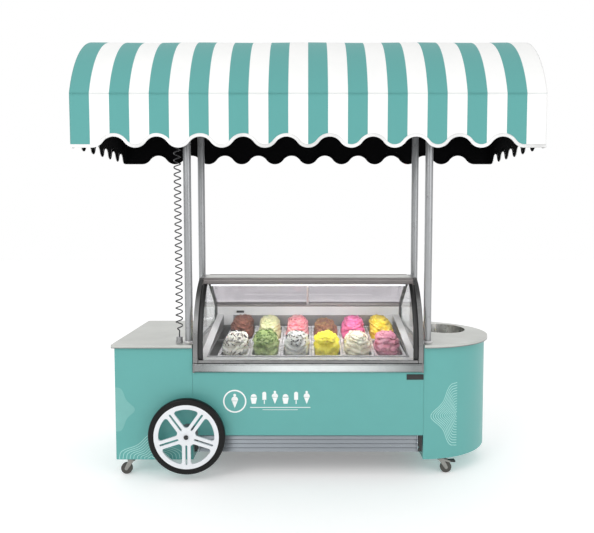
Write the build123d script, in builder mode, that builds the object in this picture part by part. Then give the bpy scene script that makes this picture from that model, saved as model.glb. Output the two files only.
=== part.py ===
from build123d import *
from math import asin, cos, degrees, radians, sin, sqrt
import os

# Push vending cart for gelato: a chilled display between two cabinets, under a cloth canopy that slides
# up and down.
# Millimetres. +X is the customer's right, -Y is the customer's side, +Z is up. The origin is on the floor,
# under the middle of the canopy.

os.makedirs("parts", exist_ok=True)


def save(builder, label):
    """Label a finished sub-part and write it to its own file."""
    builder.part.label = label
    export_step(builder.part, f"parts/{label}.step")


# ---------------------------------------------------------------- driving dimensions

# Body
cabinet_bottom = 95.0
counter_height = 734.0
counter_skin = 1.5
counter_edge = 18.0
counter_overhang = 15.0
body_half_depth = 430.0
body_half_length = 1056.0
bay_half_width = 632.0  # the display bay between the two cabinets
sheet = 1.5
round_centre_x = 629.0
round_radius = 427.0
round_door_start = 20.0
round_door_end = 80.0

# Display case
case_half_width = 627.0
case_inner_half = 602.0  # inner faces of the case's two end frames
bumper_bottom = 582.0
bumper_front = -447.0
bumper_depth = 26.0
bumper_round = 12.0
bumper_top = 633.0
ledge_height = 648.0  # underside of the tub's white ledge behind the glass
glass_radius = 405.0
glass_centre_y = -35.0
glass_centre_z = 700.0
glass_thickness = 6.0
glass_top_angle = 61.9
clamp_start = 59.9
clamp_end = 62.8
hinge_angle = 63.7
rail_angle = 64.5
shelf_height = 1078.0
glass_swing_radius = 404.0

# Tub and pans
pan_pitch_x = 175.0
pan_pitch_y = 361.0
pan_width = 173.0
pan_length = 360.0
pan_depth = 120.0
pan_tilt = 4.3
pan_row_shift = 20.0
pans_across = 6

# Canopy
canopy_width = 2470.0
canopy_depth = 1056.0
eave_height = 2066.0
roof_radius = 560.0
cloth = 3.0
valance_drop = 279.0
scallop_rise = 57.0
front_scallops = 11
side_scallop_pitch = 164.0
side_crests = 7

# Posts
post_radius = 21.2
post_wall = 2.0
post_x = 662.0
post_front_y = -348.0
post_back_y = 141.0
slide_fit = 0.08

# Wheels
castor_wheel_radius = 31.5
castor_trail = 26.0
wheel_radius = 208.5
wheel_x = -657.0
wheel_z = 244.0
wheel_mid_y = 486.0
tyre_width = 42.0
running_fit = 0.05

# ---------------------------------------------------------------- derived dimensions

valance_low = eave_height - valance_drop
half_depth_cloth = canopy_depth / 2
roof_centre_z = eave_height - sqrt(roof_radius**2 - half_depth_cloth**2)
roof_inner = roof_radius - cloth
post_points = [(side * post_x, y) for side in (-1, 1) for y in (post_front_y, post_back_y)]
cabinet_top = counter_height - counter_skin
left_cabinet_mid = -(body_half_length + bay_half_width) / 2
left_cabinet_length = body_half_length - bay_half_width
castor_points = {
    "front_left": (-985.0, -385.0),
    "back_left": (-985.0, 385.0),
    "front_right": (745.0, -365.0),
    "back_right": (745.0, 365.0),
}


def level(z):
    """Horizontal plane at a height."""
    return Plane.XY.offset(z)


def across(x):
    """Plane across the cart's length, drawn in (y, z) and extruded towards +X."""
    return Plane.YZ.offset(x)


def along(y):
    """Upright plane along the cart's length, drawn in (x, z) and extruded towards -Y."""
    return Plane.XZ.offset(-y)


def on_arc(radius, angle):
    """(y, z) of a point on the case's glass arc; 0 degrees is straight to the front, 90 straight up."""
    a = radians(angle)
    return (glass_centre_y - radius * cos(a), glass_centre_z + radius * sin(a))


def arc_band(outer, inner, start, end, mode=Mode.ADD):
    """Closed band between two radii of the glass arc, drawn in the current (y, z) sketch."""
    middle = (start + end) / 2
    with BuildLine() as band:
        ThreePointArc(on_arc(outer, start), on_arc(outer, middle), on_arc(outer, end))
        Line(on_arc(outer, end), on_arc(inner, end))
        ThreePointArc(on_arc(inner, end), on_arc(inner, middle), on_arc(inner, start))
        Line(on_arc(inner, start), on_arc(outer, start))
    make_face(band.edges(), mode=mode)


def polygon(points, mode=Mode.ADD):
    """Closed polygon in the current sketch."""
    with BuildLine() as outline:
        Polyline(*points, close=True)
    make_face(outline.edges(), mode=mode)


# ---------------------------------------------------------------- chassis

rail_y = 300.0
rail_bottom = 137.0
rail_size = (40.0, 30.0)
rail_left_end = -1030.0
rail_right_end = 860.0
rail_top = rail_bottom + rail_size[1]
floor_sheet = 2.0
foot_bottom = cabinet_bottom + floor_sheet
tube_wall = 2.0
tray_half = (560.0, 395.0)
tray_thickness = 2.0
seam = 0.2  # gap left between tubes that are bolted together
tray_top = rail_top + seam + tray_thickness

with BuildPart() as chassis_frame:
    for y in (-rail_y, rail_y):
        with BuildSketch(across(rail_left_end)):
            with Locations((y, rail_bottom + rail_size[1] / 2)):
                Rectangle(*rail_size)
                Rectangle(rail_size[0] - 2 * tube_wall, rail_size[1] - 2 * tube_wall, mode=Mode.SUBTRACT)
        extrude(amount=rail_right_end - rail_left_end)
    for x, half_length in ((-985.0, 410.0), (745.0, 390.0)):
        with BuildSketch(along(half_length)):
            with Locations((x, (foot_bottom + rail_bottom - seam) / 2)):
                Rectangle(40.0, rail_bottom - seam - foot_bottom)
                Rectangle(36.0, rail_bottom - seam - foot_bottom - 2 * tube_wall, mode=Mode.SUBTRACT)
        extrude(amount=2 * half_length)
    for x in (-600.0, 0.0, 600.0):
        with BuildSketch(along(rail_y - rail_size[0] / 2 - seam)):
            with Locations((x, rail_bottom + rail_size[1] / 2)):
                Rectangle(40.0, rail_size[1])
                Rectangle(36.0, rail_size[1] - 2 * tube_wall, mode=Mode.SUBTRACT)
        extrude(amount=2 * (rail_y - rail_size[0] / 2 - seam))
    with BuildSketch(level(rail_top + seam)):
        Rectangle(2 * tray_half[0], 2 * tray_half[1])
    extrude(amount=tray_thickness)
save(chassis_frame, "chassis_frame")

# ---------------------------------------------------------------- cabinets

end_door_half = 285.0
end_door_bottom = 140.0
end_door_top = 680.0
round_door_bottom = 140.0
round_door_top = 660.0
hinge_stand_off = 4.0
barrel_radius = 4.0
barrel_length = 30.0
pin_radius = 2.0
hinge_heights = (230.0, 580.0)


def rail_holes():
    """Slots in a cabinet's inner wall that the chassis rails pass through."""
    for y in (-rail_y, rail_y):
        with Locations((0, y, rail_bottom + rail_size[1] / 2)):
            Box(2 * bay_half_width + 40.0, rail_size[0] + 2.0, rail_size[1] + 2.0, mode=Mode.SUBTRACT)


def fixed_barrels(x, y, leaf_centre, leaf_size, leaf_angle):
    """Hinge barrels on a cabinet, each with its leaf and a pin that reaches down into the door's barrel."""
    for z in hinge_heights:
        with BuildSketch(level(z + 0.5)) as barrel:
            with Locations((x, y)):
                Circle(barrel_radius)
            with Locations(leaf_centre):
                Rectangle(*leaf_size, rotation=leaf_angle)
        extrude(barrel.sketch, amount=barrel_length)
        with BuildSketch(level(z - barrel_length)) as pin:
            with Locations((x, y)):
                Circle(pin_radius)
        extrude(pin.sketch, amount=barrel_length + 1.0)


def door_barrels(x, y, leaf_centre, leaf_size, leaf_angle):
    """Hinge barrels on a door, bored for the cabinet's pins."""
    for z in hinge_heights:
        with BuildSketch(level(z - barrel_length)) as barrel:
            with Locations((x, y)):
                Circle(barrel_radius)
            with Locations(leaf_centre):
                Rectangle(*leaf_size, rotation=leaf_angle)
            with Locations((x, y)):
                Circle(pin_radius + running_fit, mode=Mode.SUBTRACT)
        extrude(barrel.sketch, amount=barrel_length)


end_hinge_x = -(body_half_length + hinge_stand_off)
end_hinge_y = end_door_half - 1.0
leaf_length = 16.0

with BuildPart() as left_cabinet:
    with BuildSketch(level(cabinet_bottom)):
        with Locations((left_cabinet_mid, 0)):
            Rectangle(left_cabinet_length, 2 * body_half_depth)
    extrude(amount=floor_sheet)
    with BuildSketch(level(cabinet_bottom)):
        with Locations((left_cabinet_mid, 0)):
            Rectangle(left_cabinet_length, 2 * body_half_depth)
            Rectangle(left_cabinet_length - 2 * sheet, 2 * (body_half_depth - sheet), mode=Mode.SUBTRACT)
    extrude(amount=cabinet_top - cabinet_bottom)
    with Locations((-body_half_length, 0, (end_door_bottom + end_door_top) / 2)):
        Box(20.0, 2 * end_door_half, end_door_top - end_door_bottom, mode=Mode.SUBTRACT)
    rail_holes()
    fixed_barrels(
        end_hinge_x,
        end_hinge_y,
        (end_hinge_x + 2.0, end_hinge_y + leaf_length / 2),
        (4.0, leaf_length),
        0.0,
    )
save(left_cabinet, "left_cabinet")


def on_round(radius, angle):
    """(x, y) at an angle about the round cabinet's axis."""
    return (round_centre_x + radius * cos(radians(angle)), radius * sin(radians(angle)))


def ring_sector(outer, inner, start, end):
    """Sector of a ring about the round cabinet's axis, drawn in a horizontal sketch."""
    middle = (start + end) / 2
    with BuildLine() as sector:
        ThreePointArc(on_round(outer, start), on_round(outer, middle), on_round(outer, end))
        Line(on_round(outer, end), on_round(inner, end))
        ThreePointArc(on_round(inner, end), on_round(inner, middle), on_round(inner, start))
        Line(on_round(inner, start), on_round(outer, start))
    make_face(sector.edges())


def half_round(radius, inset):
    """Half-round outline of the right cabinet, cut off square beside the display bay."""
    with BuildSketch() as outline:
        with Locations((round_centre_x, 0)):
            Circle(radius)
        with Locations((bay_half_width + inset, 0)):
            Rectangle(2 * radius, 3 * radius, align=(Align.MIN, Align.CENTER), mode=Mode.INTERSECT)
    return outline.sketch_local


round_hinge_r = round_radius + hinge_stand_off
round_hinge_angle = radians(round_door_start)
round_hinge_x = round_centre_x + round_hinge_r * cos(round_hinge_angle)
round_hinge_y = round_hinge_r * sin(round_hinge_angle)
round_leaf_turn = round_door_start + 90.0
round_leaf_depth = hinge_stand_off + sheet


def round_leaf_centre(direction):
    """Middle of a hinge leaf that runs from the round door's hinge along the wall, one way or the other."""
    along_wall = direction * leaf_length / 2
    return (
        round_hinge_x - round_leaf_depth / 2 * cos(round_hinge_angle) - along_wall * sin(round_hinge_angle),
        round_hinge_y - round_leaf_depth / 2 * sin(round_hinge_angle) + along_wall * cos(round_hinge_angle),
    )


with BuildPart() as right_cabinet:
    with BuildSketch(level(cabinet_bottom)):
        add(half_round(round_radius, 0.0))
    extrude(amount=floor_sheet)
    with BuildSketch(level(cabinet_bottom)):
        add(half_round(round_radius, 0.0))
        add(half_round(round_radius - sheet, sheet), mode=Mode.SUBTRACT)
    extrude(amount=cabinet_top - cabinet_bottom)
    with BuildSketch(level(round_door_bottom)):
        ring_sector(round_radius + 20.0, round_radius - 20.0, round_door_start, round_door_end + 0.5)
    extrude(amount=round_door_top - round_door_bottom, mode=Mode.SUBTRACT)
    rail_holes()
    round_leaf = (leaf_length, round_leaf_depth)
    fixed_barrels(round_hinge_x, round_hinge_y, round_leaf_centre(-1), round_leaf, round_leaf_turn)
save(right_cabinet, "right_cabinet")

door_depth = 15.0
door_gap = 3.0

with BuildPart() as left_end_door:
    with Locations((-body_half_length + door_depth / 2, 0, (end_door_bottom + end_door_top) / 2)):
        Box(door_depth, 2 * (end_door_half - door_gap), end_door_top - end_door_bottom - 2 * door_gap)
    with Locations((-body_half_length + sheet + door_depth / 2, 0, (end_door_bottom + end_door_top) / 2)):
        Box(
            door_depth,
            2 * (end_door_half - door_gap - sheet),
            end_door_top - end_door_bottom - 2 * (door_gap + sheet),
            mode=Mode.SUBTRACT,
        )
    door_barrels(
        end_hinge_x,
        end_hinge_y,
        (end_hinge_x + 2.0, end_hinge_y - leaf_length / 2),
        (4.0, leaf_length),
        0.0,
    )
    with BuildSketch(across(-body_half_length)):
        with Locations((-end_door_half + 45.0, 440.0)):
            SlotOverall(120.0, 22.0, rotation=90)
            SlotOverall(96.0, 8.0, rotation=90, mode=Mode.SUBTRACT)
    extrude(amount=-6.0)
save(left_end_door, "left_end_door")

gap_angle = degrees(door_gap / round_radius)

with BuildPart() as right_round_door:
    with BuildSketch(level(round_door_bottom + door_gap)):
        ring_sector(
            round_radius,
            round_radius - door_depth,
            round_door_start + gap_angle,
            round_door_end + 0.5 - gap_angle,
        )
    extrude(amount=round_door_top - round_door_bottom - 2 * door_gap)
    with BuildSketch(level(round_door_bottom + door_gap + sheet)):
        ring_sector(
            round_radius - sheet,
            round_radius - door_depth - 1.0,
            round_door_start + 1.5 * gap_angle,
            round_door_end + 0.5 - 1.5 * gap_angle,
        )
    extrude(amount=round_door_top - round_door_bottom - 2 * (door_gap + sheet), mode=Mode.SUBTRACT)
    door_barrels(round_hinge_x, round_hinge_y, round_leaf_centre(1), round_leaf, round_leaf_turn)
    with BuildSketch(level(380.0)):
        ring_sector(round_radius + 6.0, round_radius - 0.5, 74.0, 76.5)
    extrude(amount=120.0)
save(right_round_door, "right_round_door")

# ---------------------------------------------------------------- front and back panels, bumper, grilles

panel_bottom = 231.0
panel_half = bay_half_width - 1.0
back_panel_top = 833.0
return_depth = 8.0
grille_bottom = 137.0
grille_half = 604.0
grille_depth = 20.0
grille_slats = 4


def tray_panel(face_y, bottom, top, inward):
    """Flat panel with its edges folded back; inward is +1 on the front of the cart and -1 on its back."""
    middle = (bottom + top) / 2
    with Locations((0, face_y + inward * return_depth / 2, middle)):
        Box(2 * panel_half, return_depth, top - bottom)
    with Locations((0, face_y + inward * (return_depth / 2 + 2.0), middle)):
        Box(2 * (panel_half - 2.0), return_depth, top - bottom - 4.0, mode=Mode.SUBTRACT)


with BuildPart() as front_panel:
    tray_panel(-body_half_depth, panel_bottom, bumper_bottom, 1)
save(front_panel, "front_panel")

with BuildPart() as back_panel:
    tray_panel(body_half_depth, panel_bottom, back_panel_top, -1)
save(back_panel, "back_panel")

with BuildPart() as bumper_rail:
    with BuildSketch(across(-case_half_width)):
        with Locations((bumper_front + bumper_depth / 2, (bumper_bottom + bumper_top) / 2)):
            RectangleRounded(bumper_depth, bumper_top - bumper_bottom, bumper_round)
            RectangleRounded(
                bumper_depth - 5.0,
                bumper_top - bumper_bottom - 5.0,
                bumper_round - 2.5,
                mode=Mode.SUBTRACT,
            )
    extrude(amount=2 * case_half_width)
save(bumper_rail, "bumper_rail")

with BuildPart() as air_grilles:
    slat_pitch = (panel_bottom - grille_bottom) / grille_slats
    for side in (-1, 1):
        middle_y = side * (body_half_depth - 2.0 - grille_depth / 2)
        with BuildSketch(across(-grille_half)):
            for i in range(grille_slats):
                with Locations((middle_y, grille_bottom + (i + 0.5) * slat_pitch)):
                    Rectangle(3.0, slat_pitch + 2.0, rotation=side * 24.0)
            with Locations((middle_y - side * 7.0, (panel_bottom + grille_bottom) / 2)):
                Rectangle(4.0, panel_bottom - grille_bottom)
            with Locations((middle_y, (panel_bottom + grille_bottom) / 2)):
                Rectangle(grille_depth, panel_bottom - grille_bottom, mode=Mode.INTERSECT)
        extrude(amount=2 * grille_half)
        for x in (-1, 1):
            with Locations((x * (grille_half - 3.0), middle_y, (panel_bottom + grille_bottom) / 2)):
                Box(6.0, grille_depth, panel_bottom - grille_bottom)
        for i in range(grille_slats):
            with Locations((0, middle_y - side * 7.0, grille_bottom + (i + 0.5) * slat_pitch)):
                Box(2 * grille_half - 60.0, 6.0, slat_pitch * 0.4, mode=Mode.SUBTRACT)
save(air_grilles, "air_grilles")

# ---------------------------------------------------------------- counter tops and sink

basin_centre = (840.0, 125.0)
basin_radii = (135.0, 175.0)
basin_lip = 9.0
basin_depth = 150.0
basin_wall = 1.4
basin_draft = 16.0
drain_radius = 20.0
gland_x = -715.0
gland_y = -350.0
edge_round = 14.0


def counter_openings():
    """Post holes through a counter top."""
    with BuildSketch(level(counter_height)) as holes:
        with Locations(*post_points):
            Circle(post_radius + 0.8)
    extrude(holes.sketch, amount=-5.0, mode=Mode.SUBTRACT)


with BuildPart() as left_countertop:
    counter_length = left_cabinet_length + counter_edge
    with BuildSketch(level(counter_height - counter_edge)) as left_top_outline:
        with Locations((-bay_half_width, 0)):
            counter_depth = 2 * (body_half_depth + counter_overhang)
            Rectangle(counter_length, counter_depth, align=(Align.MAX, Align.CENTER))
        outer_corners = left_top_outline.vertices().group_by(Axis.X)[0]
        fillet(outer_corners, radius=edge_round)
    extrude(amount=counter_edge)
    with BuildSketch(level(counter_height - counter_edge)) as left_top_inside:
        with Locations((-bay_half_width - counter_skin, 0)):
            Rectangle(
                counter_length - 2 * counter_skin,
                2 * (body_half_depth + counter_overhang - counter_skin),
                align=(Align.MAX, Align.CENTER),
            )
        inner_corners = left_top_inside.vertices().group_by(Axis.X)[0]
        fillet(inner_corners, radius=edge_round - counter_skin)
        with Locations((left_cabinet_mid, 0)):
            Rectangle(
                left_cabinet_length + 0.2,
                2 * body_half_depth + 0.2,
                mode=Mode.ADD,
            )
    extrude(amount=counter_edge - counter_skin, mode=Mode.SUBTRACT)
    counter_openings()
    with BuildSketch(level(counter_height)):
        with Locations((gland_x, gland_y)):
            Circle(8.0)
    extrude(amount=-5.0, mode=Mode.SUBTRACT)
save(left_countertop, "left_countertop")

with BuildPart() as right_countertop:
    top_radius = round_radius + counter_overhang + 3.0
    with BuildSketch(level(counter_height - counter_edge)):
        add(half_round(top_radius, 0.0))
    extrude(amount=counter_edge)
    with BuildSketch(level(counter_height - counter_edge)):
        add(half_round(top_radius - counter_skin, -1.0))
    extrude(amount=counter_edge - counter_skin, mode=Mode.SUBTRACT)
    counter_openings()
    with BuildSketch(level(counter_height)):
        with Locations(basin_centre):
            Ellipse(*basin_radii)
    extrude(amount=-5.0, mode=Mode.SUBTRACT)
save(right_countertop, "right_countertop")

def basin_ring(z, grow):
    """Oval of the basin at a height, grown or shrunk from its opening."""
    with BuildSketch(level(z)) as ring:
        with Locations(basin_centre):
            Ellipse(basin_radii[0] + grow, basin_radii[1] + grow)
    return ring.sketch


with BuildPart() as sink_basin:
    basin_rim = cabinet_top
    basin_floor = basin_rim - basin_depth
    extrude(basin_ring(basin_rim, basin_lip), amount=-2.0)
    loft([basin_ring(basin_rim, basin_wall), basin_ring(basin_floor, basin_wall - basin_draft)])
    loft(
        [basin_ring(basin_rim, 0.0), basin_ring(basin_floor + basin_wall, -basin_draft)], mode=Mode.SUBTRACT
    )
    with BuildSketch(level(basin_floor)):
        with Locations(basin_centre):
            Circle(drain_radius + 4.0)
    extrude(amount=-30.0)
    with BuildSketch(level(basin_floor + 2.0)):
        with Locations(basin_centre):
            Circle(drain_radius)
    extrude(amount=-40.0, mode=Mode.SUBTRACT)
save(sink_basin, "sink_basin")

# ---------------------------------------------------------------- tub, liner, rack, pans and their contents

rim_front = -368.0
rim_back = 379.0
tub_slope = (783.0 - ledge_height) / (386.0 - rim_front)  # rise of the tub's rim towards the back
casing_bottom = 425.0
casing_half = (602.0, 420.0)
liner_bottom = 470.0
liner_half_x = 562.0
liner_front_y = -386.0
liner_back_y = 384.2
insulation_gap = 0.5


def rim_underside(y):
    """Height of the underside of the tub's white rim."""
    return ledge_height + tub_slope * (y - rim_front)


def sloped_tub(half_x, front_y, back_y, bottom, drop):
    """Solid tub whose top follows the sloping rim, a little below it."""
    with BuildSketch(across(-half_x)) as side_view:
        polygon(
            [
                (front_y, bottom),
                (back_y, bottom),
                (back_y, rim_underside(back_y) - drop),
                (rim_front, rim_underside(rim_front) - drop),
                (front_y, rim_underside(rim_front) - drop),
            ]
        )
    extrude(side_view.sketch, amount=2 * half_x)


def hollow(half_x, front_y, back_y, bottom):
    """Open-topped hollow cut out of a tub."""
    with BuildSketch(level(bottom)) as plan:
        with Locations((0, (front_y + back_y) / 2)):
            Rectangle(2 * half_x, back_y - front_y)
    extrude(plan.sketch, amount=600.0, mode=Mode.SUBTRACT)


casing_wall = 1.0
liner_wall = 1.2

with BuildPart() as tub_casing:
    sloped_tub(casing_half[0], -casing_half[1], casing_half[1], casing_bottom, 1.0)
    hollow(
        casing_half[0] - casing_wall,
        -casing_half[1] + casing_wall,
        casing_half[1] - casing_wall,
        casing_bottom + casing_wall,
    )
save(tub_casing, "tub_casing")

with BuildPart() as tub_insulation:
    sloped_tub(
        casing_half[0] - casing_wall - insulation_gap,
        -casing_half[1] + casing_wall + insulation_gap,
        casing_half[1] - casing_wall - insulation_gap,
        casing_bottom + casing_wall,
        2.0,
    )
    hollow(liner_half_x, liner_front_y, liner_back_y, liner_bottom)
save(tub_insulation, "tub_insulation")

with BuildPart() as tub_liner:
    sloped_tub(liner_half_x, liner_front_y, liner_back_y, liner_bottom, 1.0)
    hollow(
        liner_half_x - liner_wall,
        liner_front_y + liner_wall,
        liner_back_y - liner_wall,
        liner_bottom + liner_wall,
    )
save(tub_liner, "tub_liner")

with BuildPart() as tub_rim:
    with BuildSketch(across(-case_inner_half)):
        polygon(
            [
                (-431.0, ledge_height),
                (rim_front, ledge_height),
                (386.0, 783.0),
                (386.0, 833.0),
                (428.0, 833.0),
                (428.0, 838.0),
                (381.0, 838.0),
                (381.0, 787.5),
                (rim_front - 1.0, ledge_height + 5.0),
                (-431.0, ledge_height + 5.0),
            ]
        )
    extrude(amount=2 * case_inner_half)
    with BuildSketch(level(600.0)):
        with Locations((0, (rim_front + rim_back) / 2)):
            RectangleRounded(1122.4, rim_back - rim_front, 1.0)
    extrude(amount=240.0, mode=Mode.SUBTRACT)
save(tub_rim, "tub_rim")

tilt = radians(pan_tilt)
pan_plane = Plane(origin=(0, -5.0, 685.0), x_dir=(1, 0, 0), z_dir=(0, -sin(tilt), cos(tilt)))
rack_bar = 14.0
rack_depth = 10.0
rack_half_x = liner_half_x - liner_wall
rack_end_y = pan_pitch_y - 5.0

with BuildPart() as pan_rack:
    with BuildSketch(pan_plane):
        with Locations((0, -rack_end_y), (0, 0), (0, rack_end_y)):
            Rectangle(2 * rack_half_x, rack_bar)
        with Locations((-rack_half_x + 4.0, 0), (rack_half_x - 4.0, 0)):
            Rectangle(8.0, 2 * rack_end_y)
    extrude(amount=-rack_depth)
save(pan_rack, "pan_rack")


def pan_sketch(width, length, corner):
    """The same rounded rectangle at each of the twelve pan places."""
    with Locations((pan_row_shift, 0)):
        with GridLocations(pan_pitch_x, pan_pitch_y, pans_across, 2):
            RectangleRounded(width, length, corner)


pan_rim = 1.5
pan_body_width = 149.0
pan_body_length = 336.0
pan_wall = 1.2

with BuildPart() as gelato_pans:
    with BuildSketch(pan_plane.offset(0.3)):
        pan_sketch(pan_width, pan_length, 14.0)
    extrude(amount=pan_rim)
    with BuildSketch(pan_plane.offset(0.3)):
        pan_sketch(pan_body_width, pan_body_length, 22.0)
    extrude(amount=-pan_depth, taper=2.0)
    with BuildSketch(pan_plane.offset(0.3 + pan_rim)):
        pan_sketch(pan_body_width - 2 * pan_wall, pan_body_length - 2 * pan_wall, 21.0)
    extrude(amount=-(pan_depth + pan_rim - pan_wall), taper=2.0, mode=Mode.SUBTRACT)
save(gelato_pans, "gelato_pans")

fill_below_rim = 42.0
fill_half = (70.5, 163.0)


def flavours(row_y, peak):
    """Six heaps of one row: a block in the pan under a domed heap above its rim."""
    places = [(pan_row_shift + (i - (pans_across - 1) / 2) * pan_pitch_x, row_y) for i in range(pans_across)]
    with BuildSketch(pan_plane.offset(-fill_below_rim)) as fill:
        with Locations(*places):
            RectangleRounded(2 * fill_half[0], 2 * fill_half[1], 20.0)
    extrude(fill.sketch, amount=fill_below_rim + 6.0)
    for place in places:
        rings = []
        for height, share_x, share_y in ((6.0, 0.98, 0.97), (0.62 * peak, 0.8, 0.78), (peak, 0.36, 0.3)):
            with BuildSketch(pan_plane.offset(height)) as ring:
                with Locations(place):
                    Ellipse(share_x * fill_half[0], share_y * fill_half[1])
            rings.append(ring.sketch)
        loft(rings)


with BuildPart() as front_gelato:
    flavours(-pan_pitch_y / 2, 88.0)
save(front_gelato, "front_gelato")

with BuildPart() as back_gelato:
    flavours(pan_pitch_y / 2, 104.0)
save(back_gelato, "back_gelato")

# ---------------------------------------------------------------- display case: end frames, glass, rail, shelf

slope = Vector(335.0, -210.7).normalized()  # the sliding doors' run, in (y, z)
door_origin = (44.0, 1059.6)
door_run = 388.0
frame_band = 15.0
window_bottom = 745.0
frame_bottom = bumper_top + 1.0


def on_slope(u, n):
    """(y, z) at u down the slope of the sliding doors and n out of it."""
    return (
        door_origin[0] + u * slope.X - n * slope.Y,
        door_origin[1] + u * slope.Y + n * slope.X,
    )


def case_outline(inset):
    """Side view of the case above the bumper: upright front, arc, flat top, sloping back."""
    outer = glass_radius - inset
    front_y = glass_centre_y - outer
    top_angle = degrees(asin((shelf_height - inset - glass_centre_z) / outer))
    back_y = body_half_depth - return_depth - 0.5 - inset
    top_back = 56.0 - 0.3 * inset
    slope_end = shelf_height - inset + (back_y - top_back) * slope.Y / slope.X
    with BuildSketch() as outline:
        with BuildLine():
            Line((front_y, frame_bottom), (front_y, glass_centre_z))
            ThreePointArc(
                (front_y, glass_centre_z), on_arc(outer, top_angle / 2), on_arc(outer, top_angle)
            )
            Line(on_arc(outer, top_angle), (top_back, shelf_height - inset))
            Line((top_back, shelf_height - inset), (back_y, slope_end))
            Line((back_y, slope_end), (back_y, frame_bottom))
            Line((back_y, frame_bottom), (front_y, frame_bottom))
        make_face()
    return outline.sketch_local


def window_outline():
    """Opening for a side pane: the case outline drawn in, cut off above the counter."""
    with BuildSketch() as opening:
        add(case_outline(frame_band))
        with Locations((0, window_bottom)):
            Rectangle(1200.0, 800.0, align=(Align.CENTER, Align.MIN), mode=Mode.INTERSECT)
    return opening.sketch_local


frame_depth = case_half_width - case_inner_half

with BuildPart() as case_end_frames:
    for start in (-case_half_width, case_inner_half):
        with BuildSketch(across(start)):
            add(case_outline(0.0))
            add(window_outline(), mode=Mode.SUBTRACT)
        extrude(amount=frame_depth)
save(case_end_frames, "case_end_frames")

pane = 5.0

with BuildPart() as side_glass:
    for start in (-case_half_width + 10.0, case_half_width - 10.0 - pane):
        with BuildSketch(across(start)):
            add(window_outline())
        extrude(amount=pane)
save(side_glass, "side_glass")

seal_width = 19.0
seal_outer = glass_radius - glass_thickness - 0.4
seal_inner = glass_radius - 14.0
seal_end = clamp_start - 0.9
seal_foot = glass_centre_z - ledge_height - 6.0

with BuildPart() as glass_seals:
    for start in (-case_inner_half, case_inner_half - seal_width):
        with BuildSketch(across(start)):
            arc_band(seal_outer, seal_inner, 0.0, seal_end)
            with Locations((glass_centre_y - seal_outer, glass_centre_z)):
                Rectangle(seal_outer - seal_inner, seal_foot, align=(Align.MIN, Align.MAX))
        extrude(amount=seal_width)
save(glass_seals, "glass_seals")

hinge_centre = on_arc(glass_swing_radius, hinge_angle)
knuckle_radius = 5.0
hinge_pin = 2.5
fixed_knuckles = ((-598.0, 80.0), (-40.0, 80.0), (518.0, 80.0))
moving_knuckles = ((-517.0, 476.0), (41.0, 476.0))
rail_inner = 377.0
glass_half = 598.0

with BuildPart() as top_rail:
    rail_end = degrees(asin((shelf_height - glass_centre_z) / glass_radius))
    with BuildSketch(across(-case_inner_half)):
        arc_band(glass_radius, rail_inner, rail_angle, rail_end)
        arc_band(glass_radius - 3.0, rail_inner + 3.0, rail_angle + 0.8, rail_end - 0.8, Mode.SUBTRACT)
    extrude(amount=2 * case_inner_half)
    for start, length in fixed_knuckles:
        with BuildSketch(across(start)):
            with Locations(hinge_centre):
                Circle(knuckle_radius)
            arc_band(glass_swing_radius, 397.0, hinge_angle, rail_angle + 0.5)
            with Locations(hinge_centre):
                Circle(hinge_pin, mode=Mode.SUBTRACT)
        extrude(amount=length)
    with BuildSketch(across(-glass_half)):
        with Locations(hinge_centre):
            Circle(hinge_pin)
    extrude(amount=2 * glass_half)
save(top_rail, "top_rail")

with BuildPart() as glass_clamp:
    with BuildSketch(across(-glass_half)):
        arc_band(glass_radius + 2.2, glass_radius - glass_thickness - 2.2, clamp_start, clamp_end)
        groove_inner = glass_radius - glass_thickness
        arc_band(glass_radius, groove_inner, clamp_start - 0.5, glass_top_angle, Mode.SUBTRACT)
    extrude(amount=2 * glass_half)
    for start, length in moving_knuckles:
        with BuildSketch(across(start)):
            with Locations(hinge_centre):
                Circle(knuckle_radius)
            arc_band(glass_swing_radius, 399.5, clamp_end - 0.5, hinge_angle)
            with Locations(hinge_centre):
                Circle(hinge_pin + running_fit, mode=Mode.SUBTRACT)
        extrude(amount=length)
save(glass_clamp, "glass_clamp")

with BuildPart() as front_glass:
    glass_bottom = bumper_top + 2.5
    with BuildSketch(across(-glass_half)):
        arc_band(glass_radius, glass_radius - glass_thickness, 0.0, glass_top_angle)
        with Locations((glass_centre_y - glass_radius + glass_thickness / 2, glass_bottom)):
            Rectangle(glass_thickness, glass_centre_z - glass_bottom, align=(Align.CENTER, Align.MIN))
    extrude(amount=2 * glass_half)
save(front_glass, "front_glass")

led_half = 560.0

with BuildPart() as led_strip:
    with BuildSketch(across(-led_half)):
        arc_band(rail_inner - 0.3, rail_inner - 11.5, rail_angle, rail_angle + 3.5)
    extrude(amount=2 * led_half)
save(led_strip, "led_strip")

with BuildPart() as top_shelf:
    shelf_skin = 3.0
    shelf_start = on_arc(glass_radius, rail_end)[0] + 16.0
    with BuildSketch(across(-case_inner_half)):
        polygon(
            [
                (shelf_start, shelf_height),
                (36.0, shelf_height),
                (36.0, shelf_height - 22.0),
                (33.0, shelf_height - 22.0),
                (33.0, shelf_height - shelf_skin),
                (shelf_start, shelf_height - shelf_skin),
            ]
        )
    extrude(amount=2 * case_inner_half)
save(top_shelf, "top_shelf")

door_pane = 5.0
track_pitch = 12.0
slot_clearance = 1.5


def slope_box(u0, u1, n0, n1):
    """Rectangle in the slope's own directions, drawn in (y, z)."""
    polygon([on_slope(u0, n0), on_slope(u1, n0), on_slope(u1, n1), on_slope(u0, n1)])


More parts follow.
